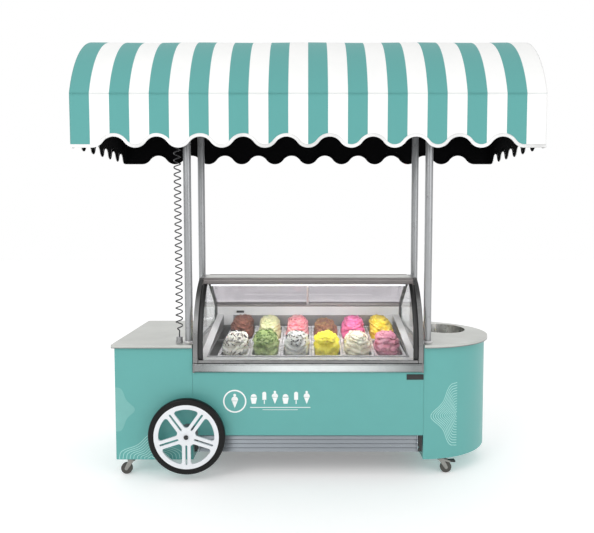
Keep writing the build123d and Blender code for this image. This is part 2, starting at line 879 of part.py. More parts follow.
def cut_slots(u0, u1):
    """The two door slots of a track, cut out of the current sketch."""
    for i in range(2):
        low = i * track_pitch - slot_clearance
        high = i * track_pitch + door_pane + slot_clearance
        corners = [on_slope(u0, low), on_slope(u1, low), on_slope(u1, high), on_slope(u0, high)]
        polygon(corners, mode=Mode.SUBTRACT)


with BuildPart() as door_tracks:
    with BuildSketch(across(-case_inner_half)):
        slope_box(-6.0, 14.0, -4.0, 21.0)
        cut_slots(4.0, 20.0)
    extrude(amount=2 * case_inner_half)
    with BuildSketch(across(-case_inner_half)):
        slope_box(door_run - 6.0, door_run + 14.0, -4.0, 21.0)
        sill = [(382.5, 838.0), (424.0, 838.0), (424.0, 843.0)]
        polygon(sill + [on_slope(door_run + 13.0, 20.0), on_slope(door_run + 13.0, -3.0)])
        cut_slots(door_run - 13.0, door_run + 0.5)
    extrude(amount=2 * case_inner_half)
save(door_tracks, "door_tracks")

slider_width = 604.0
slider_top = 8.0


def slider(start_x, layer, grip_x):
    """Sliding pane on one of the two tracks, with a moulded finger grip on its outer face."""
    low = layer * track_pitch
    with BuildSketch(across(start_x)) as pane_section:
        slope_box(slider_top, door_run, low, low + door_pane)
    extrude(pane_section.sketch, amount=slider_width)
    with BuildSketch(across(grip_x)) as grip_section:
        slope_box(150.0, 260.0, low + door_pane - 0.5, low + door_pane + 3.0)
    extrude(grip_section.sketch, amount=12.0)


with BuildPart() as left_sliding_door:
    slider(-600.0, 0, -585.0)
save(left_sliding_door, "left_sliding_door")

with BuildPart() as right_sliding_door:
    slider(600.0 - slider_width, 1, 573.0)
save(right_sliding_door, "right_sliding_door")

# ---------------------------------------------------------------- refrigeration under the tub

compressor_x = -280.0
compressor_radius = 78.0
condenser_x = 220.0

with BuildPart() as compressor:
    with BuildSketch(level(tray_top)):
        with Locations((compressor_x, 60.0)):
            RectangleRounded(190.0, 150.0, 12.0)
    extrude(amount=6.0)
    with BuildSketch(level(tray_top + 6.0)):
        with Locations((compressor_x, 60.0)):
            Circle(compressor_radius)
    extrude(amount=150.0)
    top_edge = compressor.edges().group_by(Axis.Z)[-1]
    fillet(top_edge, radius=30.0)
    with BuildSketch(level(tray_top + 60.0)):
        with Locations((compressor_x, 60.0 - compressor_radius)):
            Rectangle(60.0, 50.0)
    extrude(amount=70.0)
save(compressor, "compressor")

with BuildPart() as condenser:
    core_width = 300.0
    core_height = 200.0
    core_depth = 44.0
    core_y = -345.0
    with Locations((condenser_x, core_y, tray_top + core_height / 2)):
        Box(core_width, core_depth, core_height)
    with BuildSketch(along(core_y + core_depth / 2)):
        with Locations((condenser_x, tray_top + core_height / 2)):
            Circle(96.0)
            Circle(90.0, mode=Mode.SUBTRACT)
            for i in range(4):
                Rectangle(186.0, 7.0, rotation=45.0 * i)
            Circle(30.0)
    extrude(amount=-36.0)
save(condenser, "condenser")

# ---------------------------------------------------------------- posts, collars, guides

collar_radius = 30.0
collar_height = 8.0
guide_radius = 25.0
guide_bottom = 150.0
post_bottom = 560.0
beam_bottom = 2040.0
post_flange = 6.0
bore_radius = post_radius + slide_fit

with BuildPart() as post_collars:
    with BuildSketch(level(counter_height)):
        with Locations(*post_points):
            Circle(collar_radius)
    extrude(amount=collar_height)
    rims = post_collars.edges().group_by(Axis.Z)[-1]
    chamfer(rims, length=2.0)
    with BuildSketch(level(counter_height)):
        with Locations(*post_points):
            Circle(bore_radius)
    extrude(amount=collar_height, mode=Mode.SUBTRACT)
save(post_collars, "post_collars")

with BuildPart() as post_guides:
    with BuildSketch(level(guide_bottom)):
        with Locations(*post_points):
            Circle(guide_radius)
    extrude(amount=cabinet_top - guide_bottom)
    bracket_reach = post_x - guide_radius - (bay_half_width + sheet) + 6.0
    for side in (-1, 1):
        for y in (post_front_y, post_back_y):
            for z in (260.0, 640.0):
                with Locations((side * (bay_half_width + sheet + bracket_reach / 2), y, z)):
                    Box(bracket_reach, 36.0, 30.0)
    with BuildSketch(level(guide_bottom)):
        with Locations(*post_points):
            Circle(bore_radius)
    extrude(amount=cabinet_top - guide_bottom, mode=Mode.SUBTRACT)
save(post_guides, "post_guides")

with BuildPart() as canopy_posts:
    with BuildSketch(level(post_bottom)):
        with Locations(*post_points):
            Circle(post_radius)
            Circle(post_radius - post_wall, mode=Mode.SUBTRACT)
    extrude(amount=beam_bottom - post_flange - post_bottom)
    with BuildSketch(level(beam_bottom - post_flange)):
        with Locations(*post_points):
            Circle(31.0)
    extrude(amount=post_flange)
save(canopy_posts, "canopy_posts")

# ---------------------------------------------------------------- canopy

beam = 25.0
beam_wall = 1.5
ring_half_x = canopy_width / 2 - 7.0
ring_half_y = half_depth_cloth - 6.0
hoop_outer = roof_radius - 7.0
hoop_inner = hoop_outer - 20.0
hoop_places = [i * (ring_half_x - beam / 2) / 2 for i in (-2, -1, 0, 1, 2)]
beam_top = beam_bottom + beam


def square_tube():
    """Hollow square section at the current place of the sketch."""
    Rectangle(beam, beam)
    Rectangle(beam - 2 * beam_wall, beam - 2 * beam_wall, mode=Mode.SUBTRACT)


def on_hoop(radius, angle):
    """(y, z) on a canopy hoop; 0 degrees is its top."""
    return (radius * sin(angle), roof_centre_z + radius * cos(angle))


with BuildPart() as canopy_frame:
    inner_length = 2 * (ring_half_x - beam - seam)
    for y in (-ring_half_y + beam / 2, ring_half_y - beam / 2, post_front_y, post_back_y):
        with BuildSketch(across(-inner_length / 2)):
            with Locations((y, beam_bottom + beam / 2)):
                square_tube()
        extrude(amount=inner_length)
    for x in (-ring_half_x + beam / 2, ring_half_x - beam / 2):
        with BuildSketch(along(ring_half_y)):
            with Locations((x, beam_bottom + beam / 2)):
                square_tube()
        extrude(amount=2 * ring_half_y)
    foot_angle = asin((ring_half_y - beam / 2) / ((hoop_outer + hoop_inner) / 2))
    segments = 3
    pitch = 2 * foot_angle / segments
    step = pitch - seam / hoop_outer
    for x in hoop_places:
        for i in range(segments):
            start = -foot_angle + i * pitch
            with BuildSketch(across(x - 4.0)):
                with BuildLine():
                    ThreePointArc(*(on_hoop(hoop_outer, start + k * step / 2) for k in range(3)))
                    Line(on_hoop(hoop_outer, start + step), on_hoop(hoop_inner, start + step))
                    ThreePointArc(*(on_hoop(hoop_inner, start + k * step / 2) for k in (2, 1, 0)))
                    Line(on_hoop(hoop_inner, start), on_hoop(hoop_outer, start))
                make_face()
                with Locations((0, beam_top + 0.2)):
                    Rectangle(1400.0, 900.0, align=(Align.CENTER, Align.MIN), mode=Mode.INTERSECT)
            extrude(amount=8.0)
    with BuildSketch(across(-ring_half_x + 2.0)):
        with Locations((0, roof_centre_z + hoop_inner - 10.4)):
            Rectangle(20.0, 20.0)
            Rectangle(17.0, 17.0, mode=Mode.SUBTRACT)
    extrude(amount=2 * ring_half_x - 4.0)
save(canopy_frame, "canopy_frame")

with BuildPart() as canopy_roof:
    with BuildSketch(across(-canopy_width / 2)):
        with Locations((0, roof_centre_z)):
            Circle(roof_radius)
            Circle(roof_inner, mode=Mode.SUBTRACT)
        with Locations((0, eave_height)):
            Rectangle(3 * roof_radius, 2 * roof_radius, align=(Align.CENTER, Align.MIN), mode=Mode.INTERSECT)
    extrude(amount=canopy_width)
save(canopy_roof, "canopy_roof")


def scalloped_edge(half_width, crests, pitch):
    """Lower edge of a valance, left to right: crests hang lowest, corners are square at that level."""
    first = -(crests - 1) / 2 * pitch
    last = -first
    middle = valance_low + scallop_rise / 2
    quarter = pitch / 4
    Line((-half_width, valance_low), (first, valance_low))
    TangentArc((first, valance_low), (first + quarter, middle), tangent=(1, 0))
    for i in range(crests - 1):
        crest = first + i * pitch
        valley = crest + pitch / 2
        ThreePointArc(
            (crest + quarter, middle), (valley, valance_low + scallop_rise), (valley + quarter, middle)
        )
        if i < crests - 2:
            ThreePointArc(
                (valley + quarter, middle), (crest + pitch, valance_low), (crest + pitch + quarter, middle)
            )
    TangentArc((last, valance_low), (last - quarter, middle), tangent=(-1, 0))
    Line((last, valance_low), (half_width, valance_low))


with BuildPart() as canopy_valances:
    half_width = canopy_width / 2
    for y in (-half_depth_cloth, half_depth_cloth - cloth):
        with BuildSketch(along(y)):
            with BuildLine():
                scalloped_edge(half_width, front_scallops, canopy_width / front_scallops)
                Polyline(
                    (half_width, valance_low),
                    (half_width, eave_height),
                    (-half_width, eave_height),
                    (-half_width, valance_low),
                )
            make_face()
        extrude(amount=-cloth)
save(canopy_valances, "canopy_valances")

gable_half = half_depth_cloth - cloth - 0.3
gable_radius = roof_inner - 0.3

with BuildPart() as canopy_gables:
    arc_height = roof_centre_z + sqrt(gable_radius**2 - gable_half**2)
    for x in (-canopy_width / 2, canopy_width / 2 - cloth):
        with BuildSketch(across(x)):
            with BuildLine():
                scalloped_edge(gable_half, side_crests, side_scallop_pitch)
                Line((gable_half, valance_low), (gable_half, arc_height))
                ThreePointArc(
                    (gable_half, arc_height), (0, roof_centre_z + gable_radius), (-gable_half, arc_height)
                )
                Line((-gable_half, arc_height), (-gable_half, valance_low))
            make_face()
        extrude(amount=cloth)
save(canopy_gables, "canopy_gables")

with BuildPart() as canopy_lamp:
    with BuildSketch(across(-450.0)):
        with Locations((post_front_y, beam_bottom - 15.0)):
            RectangleRounded(52.0, 30.0, 8.0)
            RectangleRounded(46.0, 24.0, 5.0, mode=Mode.SUBTRACT)
    extrude(amount=900.0)
    with BuildSketch(across(-452.0)):
        with Locations((post_front_y, beam_bottom - 15.0)):
            RectangleRounded(52.0, 30.0, 8.0)
    extrude(amount=2.0)
    with BuildSketch(across(450.0)):
        with Locations((post_front_y, beam_bottom - 15.0)):
            RectangleRounded(52.0, 30.0, 8.0)
    extrude(amount=2.0)
save(canopy_lamp, "canopy_lamp")

# ---------------------------------------------------------------- curly cord and its glands

cord_radius = 21.0
cord_bottom = counter_height + 30.0
cord_top = beam_bottom - 30.0
gland_radius = 17.0

with BuildPart() as lower_gland:
    with BuildSketch(level(counter_height)):
        with Locations((gland_x, gland_y)):
            RegularPolygon(20.0, 6)
    extrude(amount=10.0)
    with BuildSketch(level(counter_height + 10.0)):
        with Locations((gland_x, gland_y)):
            Circle(gland_radius)
    extrude(amount=20.0)
    with BuildSketch(level(counter_height)):
        with Locations((gland_x, gland_y)):
            Circle(4.0)
    extrude(amount=30.0, mode=Mode.SUBTRACT)
save(lower_gland, "lower_gland")

with BuildPart() as upper_gland:
    with BuildSketch(level(beam_bottom)):
        with Locations((gland_x, gland_y)):
            RegularPolygon(20.0, 6)
    extrude(amount=-10.0)
    with BuildSketch(level(beam_bottom - 10.0)):
        with Locations((gland_x, gland_y)):
            Circle(gland_radius)
    extrude(amount=-20.0)
    with BuildSketch(level(beam_bottom)):
        with Locations((gland_x, gland_y)):
            Circle(4.0)
    extrude(amount=-30.0, mode=Mode.SUBTRACT)
save(upper_gland, "upper_gland")

with BuildPart() as curly_cord:
    with BuildSketch(level(cord_bottom)):
        with Locations((gland_x, gland_y)):
            Circle(cord_radius)
    extrude(amount=cord_top - cord_bottom)
save(curly_cord, "curly_cord")

# ---------------------------------------------------------------- large wheels

rim_outer = 176.0
rim_inner = 160.0
window_inner = 52.0
window_outer = 152.0
slot_start = 44.0
spoke_width = 46.0
spoke_slot = 11.0
spoke_face = 12.0
spokes = 5
axle_radius = 10.0
flange_reach = 4.0
axle_end = 509.0


def wheel_plane(side, distance):
    """Upright plane on the wheel's axle; it faces away from the cart."""
    return Plane(origin=(wheel_x, side * distance, wheel_z), x_dir=(-side, 0, 0), z_dir=(0, side, 0))


with BuildPart() as wheel_axles:
    for side in (-1, 1):
        with BuildSketch(wheel_plane(side, body_half_depth)):
            Circle(52.0)
        extrude(amount=flange_reach)
        with BuildSketch(wheel_plane(side, body_half_depth + flange_reach)):
            Circle(axle_radius)
        extrude(amount=axle_end - body_half_depth - flange_reach)
save(wheel_axles, "wheel_axles")


def spoke_windows():
    """The five rounded openings between the twin spokes."""
    with BuildSketch() as windows:
        Circle(window_outer)
        Circle(window_inner, mode=Mode.SUBTRACT)
        for i in range(spokes):
            angle = -90.0 + i * 360.0 / spokes
            middle = rim_outer / 2
            with Locations((middle * cos(radians(angle)), middle * sin(radians(angle)))):
                Rectangle(rim_outer, spoke_width, rotation=angle, mode=Mode.SUBTRACT)
        fillet(windows.vertices(), radius=13.0)
    return windows.sketch_local


def spoked_rim(side):
    """Cast wheel: barrel, face with five twin spokes, and hub bored for the axle."""
    half_width = tyre_width / 2 - 2.0
    face_start = wheel_mid_y + half_width - spoke_face
    with BuildSketch(wheel_plane(side, wheel_mid_y - half_width)) as barrel:
        Circle(rim_outer)
        Circle(rim_inner, mode=Mode.SUBTRACT)
    extrude(barrel.sketch, amount=2 * half_width)
    with BuildSketch(wheel_plane(side, face_start)) as face:
        Circle(rim_outer - 1.0)
        add(spoke_windows(), mode=Mode.SUBTRACT)
        for i in range(spokes):
            angle = -90.0 + i * 360.0 / spokes
            middle = (slot_start + window_outer) / 2
            with Locations((middle * cos(radians(angle)), middle * sin(radians(angle)))):
                SlotOverall(
                    window_outer - slot_start, spoke_slot, rotation=angle, mode=Mode.SUBTRACT
                )
    extrude(face.sketch, amount=spoke_face)
    with BuildSketch(wheel_plane(side, body_half_depth + flange_reach + 1.0)) as hub:
        Circle(26.0)
    extrude(hub.sketch, amount=wheel_mid_y + half_width - body_half_depth - flange_reach - 1.0)
    with BuildSketch(wheel_plane(side, body_half_depth)) as bore:
        Circle(axle_radius + running_fit)
    extrude(bore.sketch, amount=100.0, mode=Mode.SUBTRACT)


def rubber_tyre(side):
    """Tyre with a rounded tread, seated on the rim."""
    section_plane = Plane(origin=(wheel_x, side * wheel_mid_y, wheel_z), x_dir=(0, 0, 1), z_dir=(1, 0, 0))
    with BuildSketch(section_plane) as section:
        with Locations(((rim_outer + wheel_radius) / 2, 0)):
            RectangleRounded(wheel_radius - rim_outer, tyre_width, 13.0)
        with Locations((rim_outer, 0)):
            Rectangle(14.0, tyre_width - 4.0, align=(Align.MIN, Align.CENTER))
    revolve(section.sketch, axis=Axis((wheel_x, side * wheel_mid_y, wheel_z), (0, 1, 0)))


with BuildPart() as front_wheel_rim:
    spoked_rim(-1)
save(front_wheel_rim, "front_wheel_rim")

with BuildPart() as back_wheel_rim:
    spoked_rim(1)
save(back_wheel_rim, "back_wheel_rim")

with BuildPart() as front_tyre:
    rubber_tyre(-1)
save(front_tyre, "front_tyre")

with BuildPart() as back_tyre:
    rubber_tyre(1)
save(back_tyre, "back_tyre")

# ---------------------------------------------------------------- castors

plate_thickness = 4.0
race_bottom = 83.0
crown_top = 82.4
crown_bottom = 74.0
stem_radius = 5.0
fork_inside = 13.5
fork_plate = 3.0
castor_wheel_width = 22.0
castor_axle = 4.0
pedal_reach = 46.0
pedal_height = 66.0
pedal_length = 34.0
pedal_pin = 2.0

with BuildPart() as castor_plates:
    for x, y in castor_points.values():
        with BuildSketch(level(cabinet_bottom - plate_thickness)):
            with Locations((x, y)):
                RectangleRounded(58.0, 48.0, 4.0)
                with GridLocations(44.0, 34.0, 2, 2):
                    Circle(3.2, mode=Mode.SUBTRACT)
        extrude(amount=plate_thickness)
        with BuildSketch(level(race_bottom)):
            with Locations((x, y)):
                Circle(20.0)
        extrude(amount=cabinet_bottom - plate_thickness - race_bottom)
        with BuildSketch(level(race_bottom)):
            with Locations((x, y)):
                Circle(stem_radius + running_fit)
        extrude(amount=cabinet_bottom - race_bottom - 1.0, mode=Mode.SUBTRACT)
save(castor_plates, "castor_plates")


def fork_leg(x, axle_x, reach):
    """Side view of a fork leg, from the crown down to the wheel's axle."""
    with BuildSketch() as leg:
        polygon(
            [
                (x - reach * 17.0, crown_bottom + 2.0),
                (x + reach * 16.0, crown_bottom + 2.0),
                (axle_x + reach * 9.0, castor_wheel_radius + 4.0),
                (axle_x, castor_wheel_radius - 9.0),
                (axle_x - reach * 9.0, castor_wheel_radius - 2.0),
            ]
        )
        with Locations((axle_x, castor_wheel_radius)):
            Circle(9.0)
    return leg.sketch_local


def pedal_ear(x):
    """Side view of the ear that holds a brake pedal's pin, ahead of the crown."""
    with BuildSketch() as ear:
        polygon(
            [
                (x, crown_bottom + 4.0),
                (x + 20.0, crown_bottom + 4.0),
                (x + pedal_reach + 4.0, pedal_height + 3.0),
                (x + pedal_reach + 3.0, pedal_height - 4.0),
                (x + pedal_reach - 6.0, pedal_height - 5.0),
                (x + 12.0, crown_bottom - 4.0),
            ]
        )
    return ear.sketch_local


def castor_fork(place, trail, braked):
    """Swivel fork: stem, crown, two legs and the wheel's axle; a braked one also carries the pedal's pin."""
    x, y = place
    axle_x = x + trail
    with BuildSketch(level(crown_bottom)) as crown:
        with Locations(place):
            Circle(22.0)
    extrude(crown.sketch, amount=crown_top - crown_bottom)
    with BuildSketch(level(crown_top)) as stem:
        with Locations(place):
            Circle(stem_radius)
    extrude(stem.sketch, amount=10.0)
    for start in (y - fork_inside - fork_plate, y + fork_inside):
        with BuildSketch(along(start)) as leg:
            add(fork_leg(x, axle_x, trail / castor_trail))
            if braked:
                add(pedal_ear(x))
        extrude(leg.sketch, amount=-fork_plate)
    with BuildSketch(along(y - fork_inside - fork_plate)) as pins:
        with Locations((axle_x, castor_wheel_radius)):
            Circle(castor_axle)
        if braked:
            with Locations((x + pedal_reach, pedal_height)):
                Circle(pedal_pin)
    extrude(pins.sketch, amount=-2 * (fork_inside + fork_plate))


def castor_circle(place, trail, radius):
    """Round outline about a castor's axle, on the wheel's near side."""
    with BuildSketch(along(place[1] - castor_wheel_width / 2)) as outline:
        with Locations((place[0] + trail, castor_wheel_radius)):
            Circle(radius)
    return outline.sketch


def castor_disc(place, trail):
    """Solid disc of a castor wheel."""
    extrude(castor_circle(place, trail, castor_wheel_radius), amount=-castor_wheel_width)


def castor_bore(place, trail):
    """Bore of a castor wheel, for the fork's axle."""
    bore = castor_circle(place, trail, castor_axle + running_fit)
    extrude(bore, amount=-castor_wheel_width, mode=Mode.SUBTRACT)


def brake_pedal(place):
    """Foot pedal on the fork's pin, bored for it, with a rounded toe."""
    x, y = place
    pivot = (x + pedal_reach, pedal_height)
    half_width = fork_inside - 0.6
    with BuildSketch(along(y - half_width)) as profile:
        with Locations(pivot):
            Circle(5.0)
        polygon(
            [
                (pivot[0], pedal_height - 4.0),
                (pivot[0], pedal_height + 4.5),
                (pivot[0] + pedal_length - 8.0, pedal_height + 7.0),
                (pivot[0] + pedal_length - 8.0, pedal_height - 6.0),
            ]
        )
        with Locations((pivot[0] + pedal_length - 8.0, pedal_height + 0.5)):
            Circle(6.5)
        with Locations(pivot):
            Circle(pedal_pin + running_fit, mode=Mode.SUBTRACT)
    extrude(profile.sketch, amount=-2 * half_width)


for name, place in castor_points.items():
    braked = name.endswith("right")
    trail = castor_trail if braked else -castor_trail
    with BuildPart() as fork:
        castor_fork(place, trail, braked)
    save(fork, f"{name}_castor_fork")
    with BuildPart() as wheel:
        castor_disc(place, trail)
        fillet(wheel.edges().filter_by(GeomType.CIRCLE), radius=4.0)
        castor_bore(place, trail)
    save(wheel, f"{name}_castor_wheel")
    if braked:
        with BuildPart() as pedal:
            brake_pedal(place)
        save(pedal, f"{name}_brake_pedal")
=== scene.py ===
import math
import random

import bmesh
import bpy
from mathutils import Matrix, Vector, noise


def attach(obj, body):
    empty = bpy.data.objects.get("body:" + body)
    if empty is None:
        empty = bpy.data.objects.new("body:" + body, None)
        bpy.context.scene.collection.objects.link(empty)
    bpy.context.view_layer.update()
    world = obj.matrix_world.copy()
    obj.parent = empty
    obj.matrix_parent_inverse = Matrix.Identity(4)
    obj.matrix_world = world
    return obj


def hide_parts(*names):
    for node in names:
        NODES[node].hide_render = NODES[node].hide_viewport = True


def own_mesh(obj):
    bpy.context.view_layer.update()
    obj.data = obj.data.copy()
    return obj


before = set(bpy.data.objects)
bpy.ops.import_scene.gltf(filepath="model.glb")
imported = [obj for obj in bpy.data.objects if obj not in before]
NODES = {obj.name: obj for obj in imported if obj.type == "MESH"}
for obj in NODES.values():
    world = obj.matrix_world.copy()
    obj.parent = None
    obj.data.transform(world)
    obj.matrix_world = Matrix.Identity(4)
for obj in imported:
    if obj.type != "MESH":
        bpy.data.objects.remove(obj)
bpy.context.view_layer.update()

# The cart's own dimensions, in metres: the same ones as in the CAD source.
BODY_FRONT = -0.430
ROUND_X = 0.629
ROUND_R = 0.427
EAVE_Z = 2.066
ROOF_R = 0.560
HALF_LENGTH = 1.235
HALF_DEPTH = 0.528
ROOF_CENTRE_Z = EAVE_Z - math.sqrt(ROOF_R**2 - HALF_DEPTH**2)
VALANCE_LOW = 1.787
SCALLOP_RISE = 0.057
FRONT_PITCH = 2.47 / 11
FRONT_CRESTS = 11
SIDE_PITCH = 0.164
SIDE_CRESTS = 7
STRIPE = 2.47 / 24
WEAVE_PITCH = 0.0016
BINDING = 0.0165
HOOP_SPACING = (HALF_LENGTH - 0.0195) / 2


# ---- camera

camera = bpy.data.objects.new("camera", bpy.data.cameras.new("camera"))
bpy.context.scene.collection.objects.link(camera)
camera.location = (0.0, -4.045, 1.411)
camera.rotation_euler = (math.radians(90.0 - 3.96), 0.0, 0.0)
camera.data.sensor_width = 36.0
camera.data.lens = 40.67
camera.data.shift_x = -0.0188
bpy.context.scene.camera = camera


# ---- mesh helpers


def link(name, mesh, materials, smooth=True):
    """New object made of a mesh given in the frame's own coordinates."""
    obj = bpy.data.objects.new(name, mesh)
    bpy.context.scene.collection.objects.link(obj)
    for material in materials:
        mesh.materials.append(material)
    if smooth:
        mesh.polygons.foreach_set("use_smooth", [True] * len(mesh.polygons))
    mesh.update()
    return obj


def shape(name, verts, faces, materials, smooth=True):
    """Object from lists of vertices and faces, its normals made consistent."""
    mesh = bpy.data.meshes.new(name)
    mesh.from_pydata([tuple(v) for v in verts], [], faces)
    bm = bmesh.new()
    bm.from_mesh(mesh)
    bmesh.ops.recalc_face_normals(bm, faces=bm.faces)
    bm.to_mesh(mesh)
    bm.free()
    return link(name, mesh, materials, smooth)


def wound(rows, sides):
    """Faces of a closed tube whose rows of points each go once round."""
    faces = []
    for i in range(rows - 1):
        for k in range(sides):
            a, b = i * sides + k, i * sides + (k + 1) % sides
            faces.append((a, b, b + sides, a + sides))
    last = (rows - 1) * sides
    return faces + [tuple(reversed(range(sides))), tuple(range(last, last + sides))]


def tube(name, points, radius, sides, material):
    """Closed round tube that follows points."""
    verts = []
    side = None
    for i, p in enumerate(points):
        ahead = (points[min(i + 1, len(points) - 1)] - points[max(i - 1, 0)]).normalized()
        if side is None:
            side = ahead.orthogonal().normalized()
        side = (side - ahead * side.dot(ahead)).normalized()
        up = ahead.cross(side)
        for k in range(sides):
            a = 2 * math.pi * k / sides
            verts.append(p + radius * (math.cos(a) * side + math.sin(a) * up))
    return shape(name, verts, wound(len(points), sides), [material])


def put(piece, body):
    """Says which body a piece rides on."""
    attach(piece, body)


class Build:
    """Collects many closed little pieces into one mesh."""

    def __init__(self):
        self.verts, self.faces, self.slots = [], [], []

    def add(self, verts, faces, slot=0):
        first = len(self.verts)
        self.verts += [Vector(v) for v in verts]
        self.faces += [tuple(first + i for i in f) for f in faces]
        self.slots += [slot] * len(faces)

    def slab(self, outline, place, thick, slot=0, lift=0.0):
        """Flat outline, in two surface coordinates, given a thickness along the surface's normal."""
        n = len(outline)
        verts = [place(u, v, lift) for u, v in outline] + [place(u, v, lift + thick) for u, v in outline]
        faces = [tuple(range(n)), tuple(range(2 * n - 1, n - 1, -1))]
        faces += [(i, (i + 1) % n, n + (i + 1) % n, n + i) for i in range(n)]
        self.add(verts, faces, slot)

    def line(self, points, width, place, thick, slot=0, lift=0.0, closed=False):
        """Raised line of constant width along points given in two surface coordinates."""
        n = len(points)
        verts = []
        for i, (u, v) in enumerate(points):
            a = points[(i - 1) % n] if closed or i else points[0]
            b = points[(i + 1) % n] if closed or i < n - 1 else points[-1]
            du, dv = b[0] - a[0], b[1] - a[1]
            size = math.hypot(du, dv) or 1.0
            nu, nv = -dv / size * width / 2, du / size * width / 2
            verts += [
                place(u + nu, v + nv, lift),
                place(u - nu, v - nv, lift),
                place(u - nu, v - nv, lift + thick),
                place(u + nu, v + nv, lift + thick),
            ]
        faces = []
        for i in range(n if closed else n - 1):
            a, b = 4 * i, 4 * ((i + 1) % n)
            faces += [(a + k, a + (k + 1) % 4, b + (k + 1) % 4, b + k) for k in range(4)]
        if not closed:
            faces += [(3, 2, 1, 0), tuple(4 * (n - 1) + k for k in range(4))]
        self.add(verts, faces, slot)

    def done(self, name, materials, smooth=False):
        obj = shape(name, self.verts, self.faces, materials, smooth)
        obj.data.polygons.foreach_set("material_index", self.slots)
        return obj


def rounded_box(name, low, high, radius, materials, segments=3):
    """Box with rounded edges between two corners."""
    bm = bmesh.new()
    bmesh.ops.create_cube(bm, size=1.0)
    low, high = Vector(low), Vector(high)
    for v in bm.verts:
        v.co = Vector((v.co[i] * (high - low)[i] + (high + low)[i] / 2 for i in range(3)))
    bmesh.ops.bevel(bm, geom=bm.edges, offset=radius, segments=segments, profile=0.5, affect="EDGES")
    mesh = bpy.data.meshes.new(name)
    bm.to_mesh(mesh)
    bm.free()
    return link(name, mesh, materials)


# ---- materials


class Shader:
    """A principled material and short ways to add procedural nodes to it."""

    def __init__(self, name, **sockets):
        self.material = bpy.data.materials.new(name)
        self.material.use_nodes = True
        self.tree = self.material.node_tree
        self.main = self.tree.nodes["Principled BSDF"]
        self.coords = self.tree.nodes.new("ShaderNodeTexCoord")
        for socket, value in sockets.items():
            self.main.inputs[socket.replace("_", " ")].default_value = value

    def node(self, kind, **inputs):
        made = self.tree.nodes.new(kind)
        for key, value in inputs.items():
            self.plug(made.inputs[key.replace("_", " ")], value)
        return made

    def plug(self, socket, value):
        if isinstance(value, bpy.types.NodeSocket):
            self.tree.links.new(value, socket)
        else:
            socket.default_value = value

    def math(self, operation, a, b=0.0, c=0.0):
        made = self.tree.nodes.new("ShaderNodeMath")
        made.operation = operation
        for i, value in enumerate((a, b, c)):
            self.plug(made.inputs[i], value)
        return made.outputs[0]

    def place(self, stretch=(1.0, 1.0, 1.0), source="Object"):
        """Coordinates in metres, stretched along the axes."""
        made = self.tree.nodes.new("ShaderNodeMapping")
        self.plug(made.inputs["Vector"], self.coords.outputs[source])
        made.inputs["Scale"].default_value = stretch
        return made.outputs[0]

    def noise(self, scale, stretch=(1.0, 1.0, 1.0), detail=3.0, rough=0.55, source="Object", warp=0.0):
        made = self.node("ShaderNodeTexNoise", Vector=self.place(stretch, source), Scale=scale, Detail=detail)
        made.inputs["Roughness"].default_value = rough
        made.inputs["Distortion"].default_value = warp
        return made.outputs["Fac"]

    def span(self, value, low, high, out_low, out_high):
        """Value mapped from one range to another, held inside it."""
        made = self.node("ShaderNodeMapRange", Value=value)
        for i, limit in enumerate((low, high, out_low, out_high)):
            made.inputs[i + 1].default_value = limit
        return made.outputs[0]

    def mix(self, factor, a, b):
        made = self.tree.nodes.new("ShaderNodeMix")
        made.data_type = "RGBA"
        self.plug(made.inputs["Factor"], factor)
        for socket, value in ((made.inputs[6], a), (made.inputs[7], b)):
            self.plug(socket, value if isinstance(value, bpy.types.NodeSocket) else (*value, 1.0))
        return made.outputs[2]

    def bump(self, height, distance, strength=1.0, after=None):
        made = self.node("ShaderNodeBump", Height=height, Distance=distance, Strength=strength)
        if after is not None:
            self.plug(made.inputs["Normal"], after)
        return made.outputs["Normal"]

    def set(self, **sockets):
        for socket, value in sockets.items():
            self.plug(self.main.inputs[socket.replace("_", " ")], value)
        return self


def shade(colour, factor):
    return tuple(min(1.0, c * factor) for c in colour)


def finish(
    name, colour, rough, metal=0.0, stretch=(1, 1, 1), grain=700.0, relief=0.00006, mottle=0.05, **sockets
):
    """Plain finish with fine grain, slight colour drift and uneven gloss, all from noise in metres."""
    s = Shader(name, Metallic=metal, **sockets)
    broad = s.noise(9.0, detail=4.0)
    fine = s.noise(grain, stretch, detail=2.0)
    tone = s.mix(s.span(broad, 0.3, 0.7, 0.0, 1.0), shade(colour, 1 - mottle), shade(colour, 1 + mottle))
    tone = s.mix(s.span(fine, 0.3, 0.75, 0.0, 0.35), tone, shade(colour, 1 - 2.2 * mottle))
    smear = s.span(broad, 0.3, 0.7, rough - 0.04, rough + 0.05)
    gloss = s.math("ADD", s.span(fine, 0.25, 0.75, -0.06, 0.06), smear)
    s.set(Base_Color=tone, Roughness=gloss, Normal=s.bump(fine, relief))
    return s.material


def brushed(name, colour, rough, along, relief=0.00005, fade=None, **sockets):
    """Metal with fine parallel brush lines along one axis; fade, when given, darkens it away from its middle as a
    painted reflection.
    """
    stretch = [1.0 if i == along else 45.0 for i in range(3)]
    s = Shader(name, Metallic=1.0, **sockets)
    lines = s.noise(26.0, stretch, detail=5.0, rough=0.65)
    broad = s.noise(5.0, detail=3.0)
    tone = s.mix(s.span(lines, 0.3, 0.7, 0.0, 1.0), shade(colour, 0.88), shade(colour, 1.08))
    tone = s.mix(s.span(broad, 0.35, 0.65, 0.0, 0.25), tone, shade(colour, 0.8))
    # Painted reflection: where fade falls, the colour darkens towards a third of itself.
    if fade is not None:
        tone = s.mix(fade(s), shade(colour, 0.3), tone)
    smear = s.span(broad, 0.3, 0.7, rough - 0.03, rough + 0.05)
    gloss = s.math("ADD", s.span(lines, 0.3, 0.7, -0.05, 0.07), smear)
    s.set(Base_Color=tone, Roughness=gloss, Normal=s.bump(lines, relief))
    return s.material


